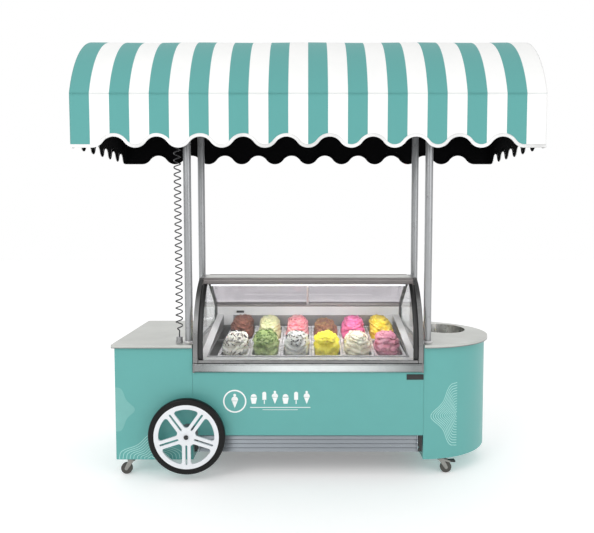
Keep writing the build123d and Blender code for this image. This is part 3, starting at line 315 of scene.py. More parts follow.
def bar_painted_reflection(s):
    """Painted reflection: one in the middle of the bumper's length and height, less towards its ends and edges,
    as a polished bar's highlight falls off; the edges also carry painted shade.
    """
    x, _, z = s.node("ShaderNodeSeparateXYZ", Vector=s.place()).outputs
    ends = s.span(s.math("MULTIPLY", x, x), 0.0, 0.33, 1.0, 0.02)
    # Painted shade along the lower edge, and a dimmer top edge.
    lower = s.span(z, 0.583, 0.597, 0.5, 1.0)
    upper = s.span(z, 0.619, 0.632, 1.0, 0.72)
    return s.math("MULTIPLY", ends, s.math("MULTIPLY", lower, upper))


TEAL = (0.120, 0.398, 0.375)
CLOTH_TEAL = (0.118, 0.378, 0.361)
TEAL_PALE = (0.40, 0.70, 0.66)
WHITE_CLOTH = (0.93, 0.93, 0.92)

teal = finish("teal_paint", TEAL, 0.40, grain=1400.0, relief=0.00003, mottle=0.02, Specular_IOR_Level=0.45)
teal_line = finish("teal_print_pale", TEAL_PALE, 0.45, mottle=0.03)
white_print = finish("white_print", (0.90, 0.92, 0.91), 0.42, mottle=0.02)
counter = brushed("counter_steel", (0.60, 0.61, 0.58), 0.36, 0)
basin_steel = finish("basin_steel", (0.50, 0.50, 0.48), 0.27, metal=1.0, stretch=(1, 1, 0.05), grain=90.0)
# The bumper's colour carries a painted reflection: bright in its middle, darker towards its ends and edges.
bumper = brushed("bumper_steel", (0.80, 0.84, 0.84), 0.24, 0, fade=bar_painted_reflection)
rail_metal = finish("rail_grey", (0.44, 0.405, 0.40), 0.34, metal=0.3, mottle=0.04, stretch=(0.1, 1, 1))
grille = brushed("grille_aluminium", (0.34, 0.37, 0.40), 0.42, 0)
liner = brushed("liner_steel", (0.42, 0.42, 0.43), 0.38, 2)
pan_steel = finish("pan_steel", (0.80, 0.79, 0.81), 0.28, metal=0.45, mottle=0.04, stretch=(0.1, 1, 1))
post_steel = finish("post_steel", (0.41, 0.42, 0.43), 0.32, metal=0.7, mottle=0.03, stretch=(1, 1, 0.1))
frame_grey = finish("case_frame_grey", (0.24, 0.24, 0.24), 0.30, metal=0.6, mottle=0.06)
dark_steel = finish("frame_dark_steel", (0.07, 0.072, 0.075), 0.5, metal=0.3, mottle=0.08)
machine = finish("machine_black", (0.022, 0.022, 0.024), 0.38, mottle=0.15, grain=350.0, relief=0.0002)
fins = finish(
    "condenser_fins", (0.30, 0.31, 0.32), 0.45, metal=0.9, stretch=(1.0, 0.1, 0.1), grain=900.0, relief=0.0005
)
white_plastic = finish("white_plastic", (0.80, 0.79, 0.80), 0.34, mottle=0.02, grain=1800.0)
black_rubber = finish("black_rubber", (0.012, 0.012, 0.012), 0.5, mottle=0.2, relief=0.00015)
TYRE_BLACK = (0.0045, 0.0045, 0.0045)
tyre = finish("tyre_black", TYRE_BLACK, 0.40, mottle=0.25, relief=0.0001, Specular_IOR_Level=0.25)
castor_rubber = finish("castor_rubber", (0.075, 0.070, 0.062), 0.6, mottle=0.15, relief=0.0002)
castor_steel = finish("castor_steel", (0.33, 0.32, 0.30), 0.34, metal=0.9, mottle=0.1)
black_plastic = finish("black_plastic", (0.02, 0.02, 0.02), 0.42, mottle=0.2)
rim_paint = finish("wheel_paint", (0.78, 0.80, 0.83), 0.28, mottle=0.025, grain=1500.0, Coat_Weight=0.3)
axle_steel = finish("axle_steel", (0.30, 0.31, 0.33), 0.35, metal=1.0, mottle=0.1, stretch=(1, 0.1, 1))
foam = finish("insulation_foam", (0.72, 0.62, 0.36), 0.85, mottle=0.1, grain=260.0, relief=0.0006)
canopy_metal = finish("canopy_frame_dark", (0.035, 0.036, 0.04), 0.5, metal=0.4, mottle=0.1)
gland = finish("gland_metal", (0.42, 0.42, 0.43), 0.32, metal=0.8, mottle=0.08)


def glass(name, colour, rough):
    s = Shader(name, Transmission_Weight=1.0, IOR=1.45)
    smear = s.noise(7.0, (1.0, 1.0, 0.4), detail=4.0)
    s.set(
        Base_Color=s.mix(s.span(smear, 0.35, 0.7, 0.0, 1.0), colour, shade(colour, 0.97)),
        Roughness=s.span(smear, 0.35, 0.75, rough, rough + 0.035),
        Normal=s.bump(s.noise(3.0), 0.0006),
    )
    return s.material


clear_glass = glass("clear_glass", (0.97, 0.985, 0.98), 0.004)
tinted_glass = glass("tinted_glass", (0.66, 0.62, 0.66), 0.08)


def glow(name, colour, strength):
    s = Shader(name, Base_Color=(0.9, 0.9, 0.92, 1.0), Emission_Strength=strength)
    dots = s.noise(60.0, (1.0, 0.02, 0.02), detail=1.0)
    s.set(Emission_Color=s.mix(s.span(dots, 0.35, 0.65, 0.0, 0.3), colour, shade(colour, 0.9)))
    s.set(Roughness=s.span(dots, 0.3, 0.7, 0.3, 0.4))
    return s.material


led_glow = glow("led_glow", (0.95, 0.96, 1.0), 1.1)
lamp_glow = glow("lamp_diffuser", (1.0, 0.96, 0.9), 0.25)


def weave(s):
    """Flat coordinate u of the cloth, and the height of a plain weave laid out in u and v."""
    turn = 2 * math.pi / WEAVE_PITCH
    u, v, _ = s.node("ShaderNodeSeparateXYZ", Vector=s.coords.outputs["UV"]).outputs
    a = s.math("SINE", s.math("MULTIPLY", u, turn))
    b = s.math("SINE", s.math("MULTIPLY", v, turn))
    return u, s.math("MULTIPLY", a, b)


def canvas(name, dark, light):
    """Striped canvas: stripes across the flat coordinate u, a weave, a seam line beside each stripe."""
    s = Shader(name, Sheen_Weight=0.12, Sheen_Roughness=0.5, Specular_IOR_Level=0.25)
    u, threads = weave(s)
    across = s.math("DIVIDE", u, 2 * STRIPE)
    stripe = s.math("LESS_THAN", s.math("FRACT", across), 0.5)
    broad = s.noise(4.0, detail=4.0)
    fade = s.span(broad, 0.3, 0.7, 0.965, 1.02)
    tone = s.mix(stripe, light, dark)
    tone = s.mix(s.math("SUBTRACT", 1.0, fade), tone, shade(dark, 0.8))
    edge = s.math("ABSOLUTE", s.math("SUBTRACT", s.math("FRACT", s.math("MULTIPLY", across, 2.0)), 0.5))
    seam = s.span(edge, 0.486, 0.5, 0.0, 1.0)
    tone = s.mix(s.math("MULTIPLY", seam, 0.10), tone, shade(dark, 0.7))
    normal = s.bump(threads, 0.00010, 0.5)
    normal = s.bump(s.math("SUBTRACT", broad, s.math("MULTIPLY", seam, 0.6)), 0.0012, 0.6, normal)
    s.set(Base_Color=tone, Roughness=s.span(broad, 0.3, 0.7, 0.72, 0.84), Normal=normal)
    return s.material


def lining(name, colour):
    s = Shader(name, Specular_IOR_Level=0.08)
    threads = weave(s)[1]
    broad = s.noise(6.0, detail=4.0)
    s.set(
        Base_Color=s.mix(s.span(broad, 0.3, 0.7, 0.0, 1.0), shade(colour, 0.8), shade(colour, 1.25)),
        Roughness=s.span(broad, 0.3, 0.7, 0.8, 0.9),
        Normal=s.bump(threads, 0.0001, 0.5),
    )
    return s.material


def seam_cloth(name, dark, light):
    """The same stripes laid out along the cart, with a fine cross-thread."""
    s = Shader(name, Specular_IOR_Level=0.2)
    x = s.node("ShaderNodeSeparateXYZ", Vector=s.coords.outputs["Object"]).outputs[0]
    along = s.math("DIVIDE", s.math("ADD", x, HALF_LENGTH), 2 * STRIPE)
    stripe = s.math("LESS_THAN", s.math("FRACT", along), 0.5)
    thread = s.math("SINE", s.math("MULTIPLY", x, 3100.0))
    tone = s.mix(stripe, light, dark)
    tone = s.mix(s.span(thread, -1.0, 1.0, 0.0, 0.35), tone, shade(dark, 0.9))
    gloss = s.span(s.noise(300.0), 0.3, 0.7, 0.72, 0.85)
    s.set(Base_Color=tone, Roughness=gloss, Normal=s.bump(thread, 0.0001, 0.6))
    return s.material


striped = canvas("striped_canvas", CLOTH_TEAL, WHITE_CLOTH)
# Painted shade: the canopy's inner face and the inner side of its white binding are near-black, darker than
# cloth, to stand for the shade under the canopy.
lining_painted_shade = lining("lining_painted_shade", (0.0022, 0.0022, 0.0026))
binding_cloth = lining("white_binding", (0.84, 0.84, 0.83))
seam_canvas = seam_cloth("seam_canvas", shade(CLOTH_TEAL, 0.93), shade(WHITE_CLOTH, 0.93))
cord_jacket = finish("cord_jacket", (0.030, 0.031, 0.034), 0.36, mottle=0.1, grain=900.0)


# ---- the curly cord

CORD_X, CORD_Y, CORD_LOW, CORD_HIGH = -0.715, -0.350, 0.764, 2.010
CORD_WIRE = 0.0068
CORD_TURNS = 31
TURN_STEPS = 24
HELIX_R = 0.0176
LEAD = 0.024  # the straight ends, where the helix opens out of the glands

route_curve = bpy.data.curves.new("curly_cord_route", "CURVE")
route_curve.dimensions = "3D"
route_spline = route_curve.splines.new("NURBS")
ROUTE = [
    (CORD_X, CORD_Y, CORD_LOW),
    (CORD_X, CORD_Y, 0.90),
    (CORD_X + 0.0006, CORD_Y - 0.0008, 1.20),
    (CORD_X - 0.0006, CORD_Y + 0.0006, 1.60),
    (CORD_X, CORD_Y, 1.88),
    (CORD_X, CORD_Y, CORD_HIGH),
]
route_spline.points.add(len(ROUTE) - 1)
for point, place in zip(route_spline.points, ROUTE):
    point.co = (*place, 1.0)
route_spline.order_u = 3
route_spline.use_endpoint_u = True
route_curve.resolution_u = 40
route_object = bpy.data.objects.new("curly_cord_route", route_curve)
route_mesh = bpy.data.meshes.new_from_object(route_object)
centre = [v.co.copy() for v in route_mesh.vertices]
bpy.data.objects.remove(route_object)
bpy.data.meshes.remove(route_mesh)
bpy.data.curves.remove(route_curve)


def along_route(z):
    """Point of the cord's middle line at a height."""
    for a, b in zip(centre, centre[1:]):
        if a.z <= z <= b.z:
            return a.lerp(b, (z - a.z) / max(b.z - a.z, 1e-9))
    return centre[-1].copy() if z > centre[-1].z else centre[0].copy()


helix = [along_route(CORD_LOW)]
steps = CORD_TURNS * TURN_STEPS
for i in range(steps + 1):
    share = i / steps
    z = CORD_LOW + LEAD + (CORD_HIGH - CORD_LOW - 2 * LEAD) * share
    opened = min(1.0, min(share, 1 - share) * CORD_TURNS)
    radius = HELIX_R * (opened * opened * (3 - 2 * opened))
    turn = 2 * math.pi * i / TURN_STEPS
    helix.append(along_route(z) + Vector((radius * math.cos(turn), radius * math.sin(turn), 0.0)))
helix.append(along_route(CORD_HIGH))

cord = tube("curly_cord_coil", helix, CORD_WIRE / 2, 8, cord_jacket)
put(cord, "root")
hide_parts("curly_cord")
[tuple(p) for p in helix]
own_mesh(cord)


# ---- finishes of the CAD parts

CASTORS = ("front_left", "back_left", "front_right", "back_right")
FINISHES = {
    teal: ("left_cabinet", "right_cabinet", "front_panel", "back_panel", "left_end_door", "right_round_door"),
    counter: ("left_countertop", "right_countertop", "tub_casing", "top_shelf"),
    basin_steel: ("sink_basin",),
    bumper: ("bumper_rail",),
    rail_metal: ("top_rail", "glass_clamp", "door_tracks"),
    grille: ("air_grilles",),
    liner: ("tub_liner", "pan_rack"),
    pan_steel: ("gelato_pans",),
    white_plastic: ("tub_rim", "post_collars"),
    foam: ("tub_insulation",),
    frame_grey: ("case_end_frames",),
    black_rubber: ("glass_seals",),
    clear_glass: ("side_glass", "front_glass"),
    tinted_glass: ("left_sliding_door", "right_sliding_door"),
    led_glow: ("led_strip",),
    lamp_glow: ("canopy_lamp",),
    dark_steel: ("chassis_frame", "post_guides"),
    machine: ("compressor",),
    fins: ("condenser",),
    post_steel: ("canopy_posts",),
    canopy_metal: ("canopy_frame",),
    gland: ("upper_gland", "lower_gland"),
    rim_paint: ("front_wheel_rim", "back_wheel_rim"),
    tyre: ("front_tyre", "back_tyre"),
    axle_steel: ("wheel_axles",),
    castor_steel: ("castor_plates", *[f"{place}_castor_fork" for place in CASTORS]),
    castor_rubber: [f"{place}_castor_wheel" for place in CASTORS],
    black_plastic: ("front_right_brake_pedal", "back_right_brake_pedal"),
}
for material, names in FINISHES.items():
    for node in names:
        NODES[node].data.materials.clear()
        NODES[node].data.materials.append(material)


# ---- canopy cloth


def scallop(x, crests, pitch):
    """Height of a valance's edge: crests hang lowest, and past the outer ones it runs level."""
    first = (crests - 1) / 2 * pitch
    if abs(x) >= first:
        return VALANCE_LOW
    from_crest = (x + first) / pitch
    from_crest = abs(from_crest - round(from_crest)) * pitch
    quarter, half_rise = pitch / 4, SCALLOP_RISE / 2
    bend = (quarter**2 + half_rise**2) / (2 * half_rise)
    if from_crest <= quarter:
        return VALANCE_LOW + bend - math.sqrt(bend**2 - from_crest**2)
    return VALANCE_LOW + SCALLOP_RISE - bend + math.sqrt(bend**2 - (2 * quarter - from_crest) ** 2)


def sway(x, down, seed):
    """How far a hanging valance stands out of its plane, more towards its lower edge."""
    wave = math.sin(7.3 * x + seed)
    wave += 0.6 * math.sin(17.9 * x + 2.1 * seed)
    wave += 0.35 * math.sin(41.0 * x + 3.3 * seed)
    return 0.0014 * wave * down**1.6


def sag(x, angle):
    """How far the vault's cloth dips between its hoops."""
    share = abs((x / HOOP_SPACING) % 1.0 - 0.5) * 2.0
    dip = 0.0024 * math.sin(math.pi * (1.0 - share) / 2.0) ** 2 * max(0.0, math.cos(angle * 1.2)) ** 0.5
    ripple = 0.0005 * noise.noise(Vector((x * 3.0, angle * 4.0, 7.0)))
    return dip + abs(ripple)


def sheet_grid(name, rows, columns, point, flat, materials, thick):
    """Two-sided cloth over a grid: point(i, j) places it and flat(i, j) gives its uncut coordinates."""
    verts = [point(i, j) for i in range(rows + 1) for j in range(columns + 1)]
    faces = []
    for i in range(rows):
        for j in range(columns):
            a = i * (columns + 1) + j
            faces.append((a, a + 1, a + columns + 2, a + columns + 1))
    mesh = bpy.data.meshes.new(name)
    mesh.from_pydata([tuple(v) for v in verts], [], faces)
    layer = mesh.uv_layers.new(name="flat")
    for loop in mesh.loops:
        i, j = divmod(loop.vertex_index, columns + 1)
        layer.data[loop.index].uv = flat(i, j)
    obj = link(name, mesh, materials)
    solid = obj.modifiers.new("thickness", "SOLIDIFY")
    solid.thickness = thick
    solid.offset = -1.0
    solid.material_offset = 1
    solid.material_offset_rim = 1
    return obj


VALANCE_ROWS = 14
VAULT_ROWS = 56
COLUMNS = 24 * 11
VALANCE = EAVE_Z - VALANCE_LOW
EAVE_ANGLE = math.asin(HALF_DEPTH / ROOF_R)
VAULT = 2 * EAVE_ANGLE * ROOF_R
CLOTH = 0.0012


def cover_point(i, j):
    """Front valance from its edge up, over the vault, and down the back valance."""
    x = HALF_LENGTH * (2 * j / COLUMNS - 1)
    if VALANCE_ROWS <= i <= VALANCE_ROWS + VAULT_ROWS:
        angle = EAVE_ANGLE * (2 * (i - VALANCE_ROWS) / VAULT_ROWS - 1)
        r = ROOF_R - sag(x, angle)
        return (x, r * math.sin(angle), ROOF_CENTRE_Z + r * math.cos(angle))
    front = i < VALANCE_ROWS
    down = 1 - i / VALANCE_ROWS if front else (i - VALANCE_ROWS - VAULT_ROWS) / VALANCE_ROWS
    z = EAVE_Z + (scallop(x, FRONT_CRESTS, FRONT_PITCH) - EAVE_Z) * down
    y = HALF_DEPTH + sway(x, down, 1.0 if front else 4.0)
    return (x, -y if front else y, z)


def cover_flat(i, j):
    if i < VALANCE_ROWS:
        v = VALANCE * i / VALANCE_ROWS
    elif i <= VALANCE_ROWS + VAULT_ROWS:
        v = VALANCE + VAULT * (i - VALANCE_ROWS) / VAULT_ROWS
    else:
        v = VALANCE + VAULT + VALANCE * (i - VALANCE_ROWS - VAULT_ROWS) / VALANCE_ROWS
    return (2 * HALF_LENGTH * j / COLUMNS, v)


cover = sheet_grid(
    "canopy_cover",
    2 * VALANCE_ROWS + VAULT_ROWS,
    COLUMNS,
    cover_point,
    cover_flat,
    [striped, lining_painted_shade],
    CLOTH,
)

GABLE_HALF = 0.5245
GABLE_R = ROOF_R - 0.0045
GABLE_PLANE = HALF_LENGTH - 0.0012
GABLE_SWAY = 0.7
GABLE_COLUMNS = 24 * 8
GABLE_ROWS = 30


def gable_x(side, y, z, out=0.0):
    """How far out an end sheet hangs at a height."""
    hang = max(0.0, (EAVE_Z - z) / VALANCE)
    return side * (GABLE_PLANE + GABLE_SWAY * sway(y, hang, 6.0 + side) + out)


def gable_sheet(name, side):
    """End sheet of the canopy, from the vault down to its own scalloped edge."""

    def top(y):
        return ROOF_CENTRE_Z + math.sqrt(GABLE_R**2 - y**2)

    def across(j):
        y = GABLE_HALF * (2 * j / GABLE_COLUMNS - 1)
        return y if side > 0 else -y

    def point(i, j):
        y = across(j)
        low = scallop(y, SIDE_CRESTS, SIDE_PITCH)
        down = 1 - i / GABLE_ROWS
        z = top(y) + (low - top(y)) * down
        return (gable_x(side, y, z), y, z)

    def flat(i, j):
        y = across(j)
        low = scallop(y, SIDE_CRESTS, SIDE_PITCH)
        return (y + 10.5 * STRIPE, low + (top(y) - low) * i / GABLE_ROWS)

    return sheet_grid(name, GABLE_ROWS, GABLE_COLUMNS, point, flat, [striped, lining_painted_shade], CLOTH)


gables = [gable_sheet("canopy_gable_left", -1), gable_sheet("canopy_gable_right", 1)]


def binding_strip(name, half, crests, pitch, place, n):
    """White tape folded over a scalloped edge, a band of constant width on both faces of the cloth."""
    thick = 0.0016
    points = []
    for k in range(n + 1):
        x = half * (2 * k / n - 1)
        points.append(Vector((x, scallop(x, crests, pitch))))
    verts = []
    section = (
        (0.0, thick),
        (0.5, thick + 0.0004),
        (1.0, thick),
        (1.0, -thick - CLOTH),
        (0.5, -thick - CLOTH - 0.0004),
        (0.0, -thick - CLOTH),
        (-0.06, -CLOTH / 2),
    )
    for k, p in enumerate(points):
        a, b = points[max(k - 1, 0)], points[min(k + 1, n)]
        ahead = (b - a).normalized()
        up = Vector((-ahead.y, ahead.x))
        for share, out in section:
            q = p + up * (BINDING * share)
            verts.append(place(q.x, q.y, out))
    size = len(section)
    faces = wound(n + 1, size)
    obj = shape(name, verts, faces, [binding_cloth, lining_painted_shade])
    # The tape's faces on the inner side take the near-black lining: painted shade on white tape.
    inside = [1 if k < n * size and k % size in (3, 4) else 0 for k in range(len(faces))]
    obj.data.polygons.foreach_set("material_index", inside)
    return obj


def drop_share(z, x, crests, pitch):
    low = scallop(x, crests, pitch)
    return min(1.0, max(0.0, (EAVE_Z - z) / (EAVE_Z - low)))


def front_place(sign, seed):
    def place(x, z, out):
        down = drop_share(z, x, FRONT_CRESTS, FRONT_PITCH)
        return Vector((x, sign * (HALF_DEPTH + sway(x, down, seed) + out), z))

    return place


def side_place(side):
    def place(y, z, out):
        return Vector((gable_x(side, y, z, out), y, z))

    return place


bindings = [
    binding_strip("binding_front", HALF_LENGTH, FRONT_CRESTS, FRONT_PITCH, front_place(-1, 1.0), 2 * COLUMNS),
    binding_strip("binding_back", HALF_LENGTH, FRONT_CRESTS, FRONT_PITCH, front_place(1, 4.0), 2 * COLUMNS),
    binding_strip("binding_left", GABLE_HALF, SIDE_CRESTS, SIDE_PITCH, side_place(-1), 300),
    binding_strip("binding_right", GABLE_HALF, SIDE_CRESTS, SIDE_PITCH, side_place(1), 300),
]


STITCH_PITCH = 0.009


def stitched_seam(name, sign):
    """Flat felled seam just under an eave, with its row of stitches."""
    made = Build()

    def place(x, z, out):
        return Vector((x, sign * (HALF_DEPTH + out), z))

    line = [(HALF_LENGTH * (2 * k / COLUMNS - 1), EAVE_Z - 0.002) for k in range(COLUMNS + 1)]
    made.line(line, 0.0035, place, 0.0013)
    for k in range(int(2 * HALF_LENGTH / STITCH_PITCH)):
        x, z = HALF_LENGTH - 0.004 - STITCH_PITCH * k, EAVE_Z - 0.010
        made.line([(x - 0.0028, z), (x + 0.0028, z)], 0.0009, place, 0.0006, 1)
    return made.done(name, [seam_canvas, seam_canvas], True)


seams = [stitched_seam("eave_seam_front", -1), stitched_seam("eave_seam_back", 1)]

for piece in [cover, *gables, *bindings, *seams]:
    put(piece, "canopy")
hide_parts("canopy_roof", "canopy_valances")
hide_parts("canopy_gables")
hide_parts("canopy_gables")
for gable, binding in zip(gables, bindings[2:]):
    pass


# ---- gelato

PAN_TILT = math.radians(4.3)
PAN_ORIGIN = Vector((0.0, -0.005, 0.685))
PAN_ALONG = Vector((0.0, math.cos(PAN_TILT), math.sin(PAN_TILT)))
PAN_UP = Vector((0.0, -math.sin(PAN_TILT), math.cos(PAN_TILT)))
PAN_PITCH = (0.175, 0.361)
PAN_SHIFT = 0.020
HEAP_HALF = (0.0745, 0.159)
HEAP_SINK = 0.004  # how far a heap sits below its measured height
WIDEST = 1.04


def pan_point(x, v, w):
    """Point given across, along and above the tilted plane of the pans."""
    return PAN_ORIGIN + Vector((x, 0, 0)) + PAN_ALONG * v + PAN_UP * w


def gelato_material(name, base, second, style):
    """Dense frozen cream: soft scattering, a fine crystalline relief and a ripple of a second colour."""
    s = Shader(name, Subsurface_Weight=0.25, Subsurface_Radius=(0.004, 0.003, 0.002), Specular_IOR_Level=0.4)
    fine = s.noise(420.0, detail=4.0, rough=0.65)
    lumps = s.noise(60.0, detail=3.0)
    if style == "streaks":
        mask = s.span(s.noise(17.0, (1.0, 0.6, 0.8), detail=3.0, warp=2.6), 0.55, 0.59, 0.0, 1.0)
    elif style == "flecks":
        cells = s.node("ShaderNodeTexVoronoi", Vector=s.place(), Scale=110.0)
        mask = s.span(cells.outputs["Distance"], 0.16, 0.24, 1.0, 0.0)
    elif style == "swirl":
        mask = s.span(s.noise(15.0, (1.0, 0.7, 0.9), detail=2.0, warp=2.0), 0.46, 0.62, 0.0, 1.0)
    else:
        mask = s.span(lumps, 0.35, 0.7, 0.0, 1.0)
    tone = s.mix(mask, base, second)
    tone = s.mix(s.span(lumps, 0.3, 0.7, 0.0, 0.22), tone, shade(base, 0.72))
    normal = s.bump(lumps, 0.003, 0.5)
    s.set(
        Base_Color=tone,
        Roughness=s.span(fine, 0.3, 0.7, 0.36, 0.60),
        Normal=s.bump(fine, 0.0006, 0.6, normal),
    )
    return s.material


def heap_surface(seed, peak, folds, lean):
    """Radius and height of a heap laid on in folds: t runs from the pan's rim (0) to the top (1)."""
    rng = random.Random(seed)
    phase = [rng.uniform(0, 6.28) for _ in range(4)]

    def at(angle, t):
        drifted = Vector((math.cos(angle) * 0.9, math.sin(angle) * 0.9, t * 1.2 + seed))
        slant = 0.42 * math.sin(angle + phase[0]) + 0.24 * math.sin(2 * angle + phase[1])
        fold = folds * t + slant + 0.9 * noise.noise(drifted)
        saw = fold - math.floor(fold)
        lip = (1 - saw) ** 1.6 * 0.55 + 0.45 * math.sin(math.pi * saw) ** 2
        body = math.cos(t * math.pi / 2 * 0.94) ** 0.62
        r = body * (0.86 + 0.19 * lip)
        p = Vector((math.cos(angle) * 1.7, math.sin(angle) * 1.7, t * 3.0)) + Vector((seed * 3.1, 0, 0))
        r *= 1.0 + 0.20 * noise.noise(p) + 0.09 * noise.noise(p * 3.1)
        lumpy = 1.0 + 0.07 * noise.noise(p * 1.4 + Vector((9, 2, 4)))
        h = peak * (math.sin(t * math.pi / 2) ** 0.85) * lumpy
        h += 0.009 * (lip - 0.5) * math.sin(math.pi * t)
        drift = lean * t * t
        return r, min(h, peak * 1.03), drift

    return at


def heap(name, column, row, peak, materials, seed, folds=4.0, topping=None):
    """One flavour: the fill of its pan and the heap above it, with what is scattered on top."""
    x0 = PAN_SHIFT + (column - 2.5) * PAN_PITCH[0]
    v0 = (row - 0.5) * PAN_PITCH[1]
    rng = random.Random(seed * 7 + 1)
    surface = heap_surface(seed, peak, folds, rng.uniform(-0.018, 0.018))
    around, levels = 72, 46

    def outline(angle, grow):
        """Rounded-rectangle footprint."""
        c, s = math.cos(angle), math.sin(angle)
        k = (abs(c) ** 2.6 + abs(s) ** 2.6) ** (-1 / 2.6)
        return c * k * HEAP_HALF[0] * grow, s * k * HEAP_HALF[1] * grow

    made = Build()
    verts = [pan_point(x0, v0, -0.040)]
    below = (-0.040, -0.025, -0.010)
    for w in below:
        for k in range(around):
            u, v = outline(2 * math.pi * k / around, 0.93)
            verts.append(pan_point(x0 + u, v0 + v, w))
    for level in range(levels):
        t = level / levels
        for k in range(around):
            angle = 2 * math.pi * k / around
            r, h, drift = surface(angle, t)
            u, v = outline(angle, min(r, WIDEST if h > 0.008 else 0.99))
            verts.append(pan_point(x0 + u + drift, v0 + v, h - HEAP_SINK))
    rows = len(below) + levels
    top = surface(0.0, 1.0)
    verts.append(pan_point(x0 + top[2], v0, top[1] - HEAP_SINK))
    faces = [(0, 1 + (k + 1) % around, 1 + k) for k in range(around)]
    for i in range(rows - 1):
        for k in range(around):
            a, b = 1 + i * around + k, 1 + i * around + (k + 1) % around
            faces.append((a, b, b + around, a + around))
    last = 1 + (rows - 1) * around
    faces += [(last + k, last + (k + 1) % around, len(verts) - 1) for k in range(around)]
    made.add(verts, faces)
    if topping:
        scatter(made, topping, surface, outline, (x0, v0), rng)
    obj = made.done(name, materials, True)
    put(obj, "root")
    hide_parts("front_gelato" if row == 0 else "back_gelato")


CRUMB_SHAPES = {  # length, width and thickness, as shares of a crumb's size
    "shard": (1.9, 0.42, 0.22),
    "chip": (1.0, 0.75, 0.45),
    "nut": (1.0, 0.8, 0.7),
    "leaf": (2.2, 0.8, 0.10),
}


def scatter(made, topping, surface, outline, place, rng):
    """Little chips, shavings or nuts pressed into a heap."""
    kind, count, size, low = topping
    long_, wide, thick = CRUMB_SHAPES[kind]
    upright = kind in ("shard", "leaf")
    tip = 0.6 * size if upright else 0.0
    for _ in range(count):
        angle, t = rng.uniform(0, 2 * math.pi), rng.uniform(low, 0.96)
        r, h, drift = surface(angle, t)
        u, v = outline(angle, min(r, WIDEST))
        centre = pan_point(place[0] + u + drift, place[1] + v, h - HEAP_SINK)
        inner = pan_point(place[0] + drift, place[1], 0.25 * h)
        out = (centre - inner).normalized()
        side = out.orthogonal().normalized()
        side.rotate(Matrix.Rotation(rng.uniform(0, 6.28), 3, out))
        other = out.cross(side)
        lift = rng.uniform(0.05, 0.9) * size if upright else 0.25 * size * thick
        ring = []
        for a in range(6):
            ca, sa = math.cos(math.pi * a / 3), math.sin(math.pi * a / 3)
            wobble = rng.uniform(0.8, 1.15)
            base = centre + side * (size * long_ * ca * wobble / 2) + other * (size * wide * sa * wobble / 2)
            ring.append(base + out * (lift * 0.4 + tip * ca * 0.5))
        up = out * (size * thick / 2)
        verts = [p + up for p in ring] + [p - up for p in ring]
        faces = [tuple(range(6)), tuple(range(11, 5, -1))]
        faces += [(k, (k + 1) % 6, 6 + (k + 1) % 6, 6 + k) for k in range(6)]
        made.add(verts, faces, 1)


def crumb(name, colour):
    return finish(name, colour, 0.42, mottle=0.2, grain=500.0, relief=0.0003)


dark_chocolate = crumb("dark_chocolate", (0.022, 0.010, 0.007))
milk_chocolate = crumb("milk_chocolate", (0.30, 0.125, 0.080))
nut_pieces = crumb("nut_pieces", (0.42, 0.25, 0.11))
pistachio_leaf = crumb("pistachio_slivers", (0.20, 0.32, 0.075))
red_sauce = crumb("red_sauce", (0.40, 0.012, 0.02))
cookie = crumb("cookie_crumbs", (0.035, 0.030, 0.032))

FLAVOURS = (
    # row, column, base, second colour, pattern, folds, topping material, (kind, count, size, lowest t)
    (1, 0, (0.22, 0.075, 0.050), (0.14, 0.042, 0.030), "swirl", 4.0, milk_chocolate, ("shard", 210, 0.011, 0.25)),
    (1, 1, (0.74, 0.72, 0.44), (0.62, 0.63, 0.33), "plain", 5.0, pistachio_leaf, ("nut", 26, 0.005, 0.3)),
    (1, 2, (0.84, 0.27, 0.33), (0.88, 0.48, 0.48), "swirl", 6.0, red_sauce, ("nut", 14, 0.006, 0.5)),
    (1, 3, (0.27, 0.115, 0.070), (0.19, 0.075, 0.045), "plain", 2.5, nut_pieces, ("nut", 150, 0.008, 0.2)),
    (1, 4, (0.88, 0.20, 0.42), (0.80, 0.12, 0.32), "swirl", 4.0, red_sauce, ("chip", 12, 0.008, 0.4)),
    (1, 5, (0.90, 0.66, 0.035), (0.93, 0.76, 0.16), "swirl", 4.5, nut_pieces, ("nut", 5, 0.006, 0.4)),
    (0, 0, (0.82, 0.79, 0.72), (0.035, 0.018, 0.014), "streaks", 3.5, dark_chocolate, ("shard", 30, 0.014, 0.3)),
    (0, 1, (0.27, 0.37, 0.11), (0.42, 0.52, 0.21), "swirl", 4.0, pistachio_leaf, ("leaf", 90, 0.013, 0.3)),
    (0, 2, (0.60, 0.60, 0.58), (0.09, 0.085, 0.085), "flecks", 3.5, cookie, ("chip", 60, 0.010, 0.35)),
    (0, 3, (0.86, 0.74, 0.010), (0.92, 0.82, 0.08), "plain", 3.0, red_sauce, ("nut", 6, 0.007, 0.4)),
    (0, 4, (0.82, 0.76, 0.60), (0.86, 0.82, 0.70), "plain", 5.0, nut_pieces, ("nut", 70, 0.006, 0.2)),
    (0, 5, (0.62, 0.20, 0.30), (0.72, 0.34, 0.42), "swirl", 3.5, red_sauce, ("chip", 18, 0.008, 0.35)),
)
PEAKS = (0.088, 0.103)  # front row, back row
LOW_HEAP = (1, 3)
for number, (row, column, base, second, pattern, folds, extra, topping) in enumerate(FLAVOURS):
    body = gelato_material(f"gelato_{row}_{column}", base, second, pattern)
    peak = PEAKS[row] * (0.80 if (row, column) == LOW_HEAP else 1.0)
    heap(f"gelato_heap_{row}_{column}", column, row, peak, [body, extra], number + 11, folds, topping)


# ---- prints and small fittings on the body

PRINT = 0.0003  # thickness of a printed film
LOBE_HALF = 0.177

def front_face(x, z, out):
    return Vector((x, BODY_FRONT - out, z))


def round_face(u, z, out):
    """On the half-round cabinet; u is measured along its wall from where it begins."""
    a = u / ROUND_R
    r = ROUND_R + out
    return Vector((ROUND_X + r * math.sin(a), -r * math.cos(a), z))


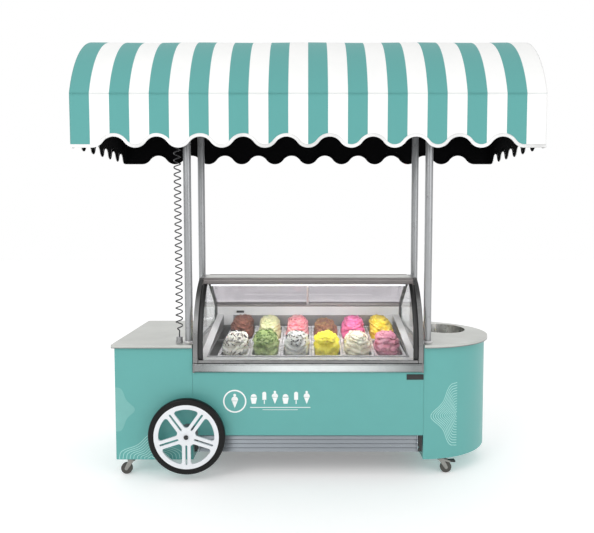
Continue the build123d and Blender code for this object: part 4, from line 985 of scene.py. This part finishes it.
def arc(centre, radius, start, end, step=0.006):
    n = max(6, int(radius * math.radians(abs(end - start)) / step))
    turns = [math.radians(start + (end - start) * k / n) for k in range(n + 1)]
    return [(centre[0] + radius * math.cos(a), centre[1] + radius * math.sin(a)) for a in turns]


def bell(v):
    """Reach of the lobed print at a distance v from its middle line: a round foot and a bulging tip."""
    foot = 0.085 * max(0.0, 1.0 - (v / LOBE_HALF) ** 2) ** 0.3
    return foot + 0.075 * math.exp(-((v / 0.055) ** 2))


def lobed(size, steps=72):
    """Outline of the lobed print, (out from its base line, along it), at a size."""
    shares = [2 * k / steps - 1 for k in range(steps + 1)]
    return [(size * bell(LOBE_HALF * share), size * LOBE_HALF * share) for share in shares]


def contours(made, place, rings, turn):
    """The lobed outline repeated inwards; turn puts (out, along) into the surface's own coordinates."""
    for k in range(1, rings + 1):
        made.line([turn(out, along) for out, along in lobed(k / rings)], 0.0034, place, PRINT)


motif = Build()
contours(motif, round_face, 12, lambda out, along: (0.205 - out, 0.336 + along))
contours(motif, front_face, 9, lambda out, along: (-0.863 + along, 0.0985 + 0.86 * out))
put(motif.done("arc_motif", [teal_line]), "root")

cloud = Build()
cloud_outline = [(-1.0555 + 0.66 * out, 0.375 + 0.70 * along) for out, along in lobed(1.0, 60)]
cloud.slab(cloud_outline, front_face, 0.0002)
soft_print = finish("teal_print_soft", (0.185, 0.47, 0.44), 0.45, mottle=0.06)
put(cloud.done("cloud_print", [soft_print]), "root")


def ring_points(centre, radius, n):
    turns = [2 * math.pi * k / n for k in range(n)]
    return [(centre[0] + radius * math.cos(a), centre[1] + radius * math.sin(a)) for a in turns]


def cone_icon(made, x, z, size):
    """Cone with two scoops."""
    made.slab([(x - 0.20 * size, z), (x + 0.20 * size, z), (x, z - 0.5 * size)], front_face, PRINT)
    top = [(x - 0.24 * size, z + 0.03 * size)]
    top += arc((x, z + 0.10 * size), 0.235 * size, 200.0, -20.0)
    made.slab(top, front_face, PRINT)
    made.slab(ring_points((x, z + 0.42 * size), 0.10 * size, 20), front_face, PRINT)


def lolly_icon(made, x, z, size):
    """Ice lolly on its stick."""
    half = 0.15 * size
    body = [(x - half, z - 0.18 * size), (x + half, z - 0.18 * size)]
    body += arc((x, z + 0.30 * size), half, 0.0, 180.0)
    made.slab(body, front_face, PRINT)
    stick = [(x - 0.035 * size, z - 0.5 * size), (x + 0.035 * size, z - 0.5 * size)]
    stick += [(x + 0.035 * size, z - 0.21 * size), (x - 0.035 * size, z - 0.21 * size)]
    made.slab(stick, front_face, PRINT)


def cup_icon(made, x, z, size):
    """Cup with a scoop."""
    cup = [(x - 0.25 * size, z), (x - 0.15 * size, z - 0.48 * size)]
    cup += [(x + 0.15 * size, z - 0.48 * size), (x + 0.25 * size, z)]
    made.slab(cup, front_face, PRINT)
    made.slab(arc((x, z + 0.05 * size), 0.22 * size, 0.0, 180.0), front_face, PRINT)


icons = Build()
icons.line(ring_points((-0.402, 0.421), 0.060, 72), 0.008, front_face, PRINT, closed=True)
cone_icon(icons, -0.402, 0.422, 0.078)
ROW_Z, ROW_SIZE = 0.442, 0.072
for k, icon in enumerate((cup_icon, lolly_icon, cone_icon, cup_icon, lolly_icon, cone_icon)):
    icon(icons, -0.298 + 0.058 * k, ROW_Z, ROW_SIZE)
icons.line([(-0.318, 0.387), (0.012, 0.387)], 0.0035, front_face, PRINT)
icons.line([(-0.250, 0.374), (-0.056, 0.374)], 0.0022, front_face, PRINT)
put(icons.done("ice_cream_icons", [white_print]), "root")

badge = rounded_box("blank_badge", (0.538, -0.4335, 0.541), (0.630, -0.4285, 0.571), 0.0018, [black_plastic])
put(badge, "root")
display = rounded_box(
    "temperature_display", (-0.475, 0.3765, 0.798), (-0.425, 0.3815, 0.813), 0.002, [black_plastic]
)
put(display, "root")

for side, hand in ((-1, "left"), (1, "right")):
    ends = sorted((side * 0.497, side * 0.560))
    corner = rounded_box(
        f"riser_corner_{hand}", (ends[0], 0.3745, 0.716), (ends[1], 0.3785, 0.786), 0.0012, [white_plastic]
    )
    put(corner, "root")
    ends = sorted((side * 0.6175, side * 0.6285))
    cap = rounded_box(
        f"bumper_end_{hand}", (ends[0], -0.4482, 0.5812), (ends[1], -0.4202, 0.6338), 0.0035, [frame_grey]
    )
    put(cap, "root")

DOOR_ORIGIN = (0.044, 1.0596)
DOOR_SLOPE = Vector((0.3350, -0.2107)).normalized()


def door_face(x, u, out):
    """On the inner face of the front sliding door; u runs down its slope."""
    y = DOOR_ORIGIN[0] + u * DOOR_SLOPE.x + out * DOOR_SLOPE.y
    z = DOOR_ORIGIN[1] + u * DOOR_SLOPE.y - out * DOOR_SLOPE.x
    return Vector((x, y, z))


stile = Build()
stile.slab([(-0.010, 0.010), (0.0035, 0.010), (0.0035, 0.386), (-0.010, 0.386)], door_face, 0.0004)
put(stile.done("door_stile", [white_plastic]), "left_sliding_door")


# Painted shade: a dark band along the lower part of each counter's edge.
SHADE_LOW, SHADE_HIGH, SHADE_THICK = 0.7162, 0.7205, 0.0007


def counter_painted_shade(name, outline):
    """Thin dark strip round the lower part of a counter's edge, painted shade, on an outline given as points with
    their outward normals.
    """
    verts = []
    for x, y, nx, ny in outline:
        out_x, out_y = x + SHADE_THICK * nx, y + SHADE_THICK * ny
        verts += [(x, y, SHADE_LOW), (out_x, out_y, SHADE_LOW), (out_x, out_y, SHADE_HIGH), (x, y, SHADE_HIGH)]
    painted_band = shape(name, verts, wound(len(outline), 4), [frame_grey], False)
    put(painted_band, "root")


EDGE_X, EDGE_Y, EDGE_ROUND, EDGE_END = -1.074, 0.445, 0.014, -0.6335
edge = [(EDGE_END, -EDGE_Y, 0.0, -1.0)]
for start, sign in ((270.0, -1), (180.0, 1)):
    for k in range(7):
        a = math.radians(start - 15.0 * k)
        x = EDGE_X + EDGE_ROUND + EDGE_ROUND * math.cos(a)
        y = sign * (EDGE_Y - EDGE_ROUND) + EDGE_ROUND * math.sin(a)
        edge.append((x, y, math.cos(a), math.sin(a)))
edge.append((EDGE_END, EDGE_Y, 0.0, 1.0))
counter_painted_shade("counter_hem_left", edge)
edge = []
for k in range(73):
    a = math.radians(-89.5 + 179.0 * k / 72)
    edge.append((ROUND_X + EDGE_Y * math.cos(a), EDGE_Y * math.sin(a), math.cos(a), math.sin(a)))
counter_painted_shade("counter_hem_right", edge)

AXLE_X, AXLE_Z, AXLE_END = -0.657, 0.244, 0.5092


def axle_cap(name, sign):
    """Domed cap on the end of a large wheel's axle."""
    profile = ((0.0125, 0.0), (0.0128, 0.0012), (0.0118, 0.0024), (0.0080, 0.0033), (0.0035, 0.0037))
    sides = 28
    verts = []
    for r, out in profile:
        for k in range(sides):
            a = 2 * math.pi * k / sides
            verts.append((AXLE_X + r * math.cos(a), sign * (AXLE_END + out), AXLE_Z + r * math.sin(a)))
    put(shape(name, verts, wound(len(profile), sides), [black_plastic]), "root")


axle_cap("axle_cap_front", -1)
axle_cap("axle_cap_back", 1)

GLASS_R = 0.405
GLASS_CENTRE = (-0.035, 0.700)
GLASS_HALF = 0.598
BORDER = 0.026
FOOT_TOP = 0.6500


def glass_face(x, s, out):
    """On the outer face of the front glass; s runs up from where the upright part ends."""
    a = max(0.0, s) / GLASS_R
    r = GLASS_R + out
    return Vector((x, GLASS_CENTRE[0] - r * math.cos(a), GLASS_CENTRE[1] + r * math.sin(a) + min(0.0, s)))


border = Build()
for side in (-1, 1):
    middle = side * (GLASS_HALF - BORDER / 2)
    run = [(middle, FOOT_TOP - GLASS_CENTRE[1]), (middle, -0.020)]
    run += [(middle, GLASS_R * math.radians(59.4) * k / 48) for k in range(49)]
    border.line(run, BORDER, glass_face, PRINT)
border = border.done("glass_border", [black_plastic], True)
foot_low, foot_high = (-GLASS_HALF, -0.4440, 0.6342), (GLASS_HALF, -0.4320, FOOT_TOP)
foot = rounded_box("glass_foot", foot_low, foot_high, 0.0030, [frame_grey])
for piece in (border, foot):
    put(piece, "front_glass")

BRACKET_LOW, BRACKET_HIGH, BRACKET_THICK = 0.139, 0.230, 0.004


def bracket(name, outer, inner):
    """Black bracket with a wavy inner edge, at one end of the grille."""
    made = Build()
    outline = [(outer, BRACKET_LOW), (outer, BRACKET_HIGH)]
    for k in range(25):
        z = BRACKET_HIGH - (BRACKET_HIGH - BRACKET_LOW) * k / 24
        outline.append((inner + 0.004 * math.sin(2 * math.pi * k / 8), z))
    made.slab(outline, front_face, BRACKET_THICK, lift=-BRACKET_THICK)
    put(made.done(name, [black_plastic]), "root")


bracket("grille_bracket_left", -0.626, -0.606)
bracket("grille_bracket_right", 0.626, 0.606)

# ---- floor, light, backdrop

FLOOR_LIFT = 0.24  # keeps the open floor white, so that no horizon shows
plane = bpy.data.meshes.new("floor")
plane.from_pydata([(-14, -9, 0), (14, -9, 0), (14, 19, 0), (-14, 19, 0)], [], [(0, 1, 2, 3)])
paint = finish("floor_plaster", (0.93, 0.93, 0.93), 0.7, mottle=0.004, relief=0.0)
sockets = paint.node_tree.nodes["Principled BSDF"].inputs
sockets["Emission Color"].default_value = (1.0, 1.0, 1.0, 1.0)
sockets["Emission Strength"].default_value = FLOOR_LIFT
floor = link("floor", plane, [paint])

world = bpy.data.worlds.new("studio")
bpy.context.scene.world = world
world.use_nodes = True
sky = world.node_tree
sky.nodes["Background"].inputs["Color"].default_value = (1.0, 1.0, 1.0, 1.0)
direction = sky.nodes.new("ShaderNodeSeparateXYZ")
sky.links.new(sky.nodes.new("ShaderNodeTexCoord").outputs["Generated"], direction.inputs[0])


def falloff(value, low, high, out_low, out_high):
    made = sky.nodes.new("ShaderNodeMapRange")
    made.interpolation_type = "SMOOTHSTEP"
    sky.links.new(value, made.inputs[0])
    for i, limit in enumerate((low, high, out_low, out_high)):
        made.inputs[i + 1].default_value = limit
    return made.outputs[0]


def times(a, b):
    made = sky.nodes.new("ShaderNodeMath")
    made.operation = "MULTIPLY"
    sky.links.new(a, made.inputs[0])
    sky.links.new(b, made.inputs[1])
    return made.outputs[0]


# White behind the cart, dimmer beside it and behind the camera, which gives the metals something to reflect.
right = falloff(direction.outputs[0], 0.45, 0.95, 1.0, 0.55)
left = falloff(direction.outputs[0], -0.95, -0.45, 0.68, 1.0)
level = times(times(right, left), falloff(direction.outputs[1], -0.9, 0.1, 0.72, 1.0))
sky.links.new(level, sky.nodes["Background"].inputs["Strength"])
bpy.context.scene.view_settings.view_transform = "Standard"


def softbox(name, place, target, size, power):
    light = bpy.data.lights.new(name, "AREA")
    light.shape = "RECTANGLE"
    light.size, light.size_y = size
    light.energy = power
    obj = bpy.data.objects.new(name, light)
    bpy.context.scene.collection.objects.link(obj)
    obj.location = place
    obj.rotation_euler = (Vector(target) - Vector(place)).to_track_quat("-Z", "Y").to_euler()


softbox("key", (-2.6, -4.2, 3.6), (0.0, 0.0, 1.0), (2.4, 2.4), 60.0)
softbox("fill", (3.2, -3.4, 2.2), (0.0, 0.0, 0.9), (2.4, 2.4), 30.0)
softbox("case_light", (0.0, -0.165, 1.020), (0.0, 0.02, 0.70), (1.10, 0.03), 4.0)
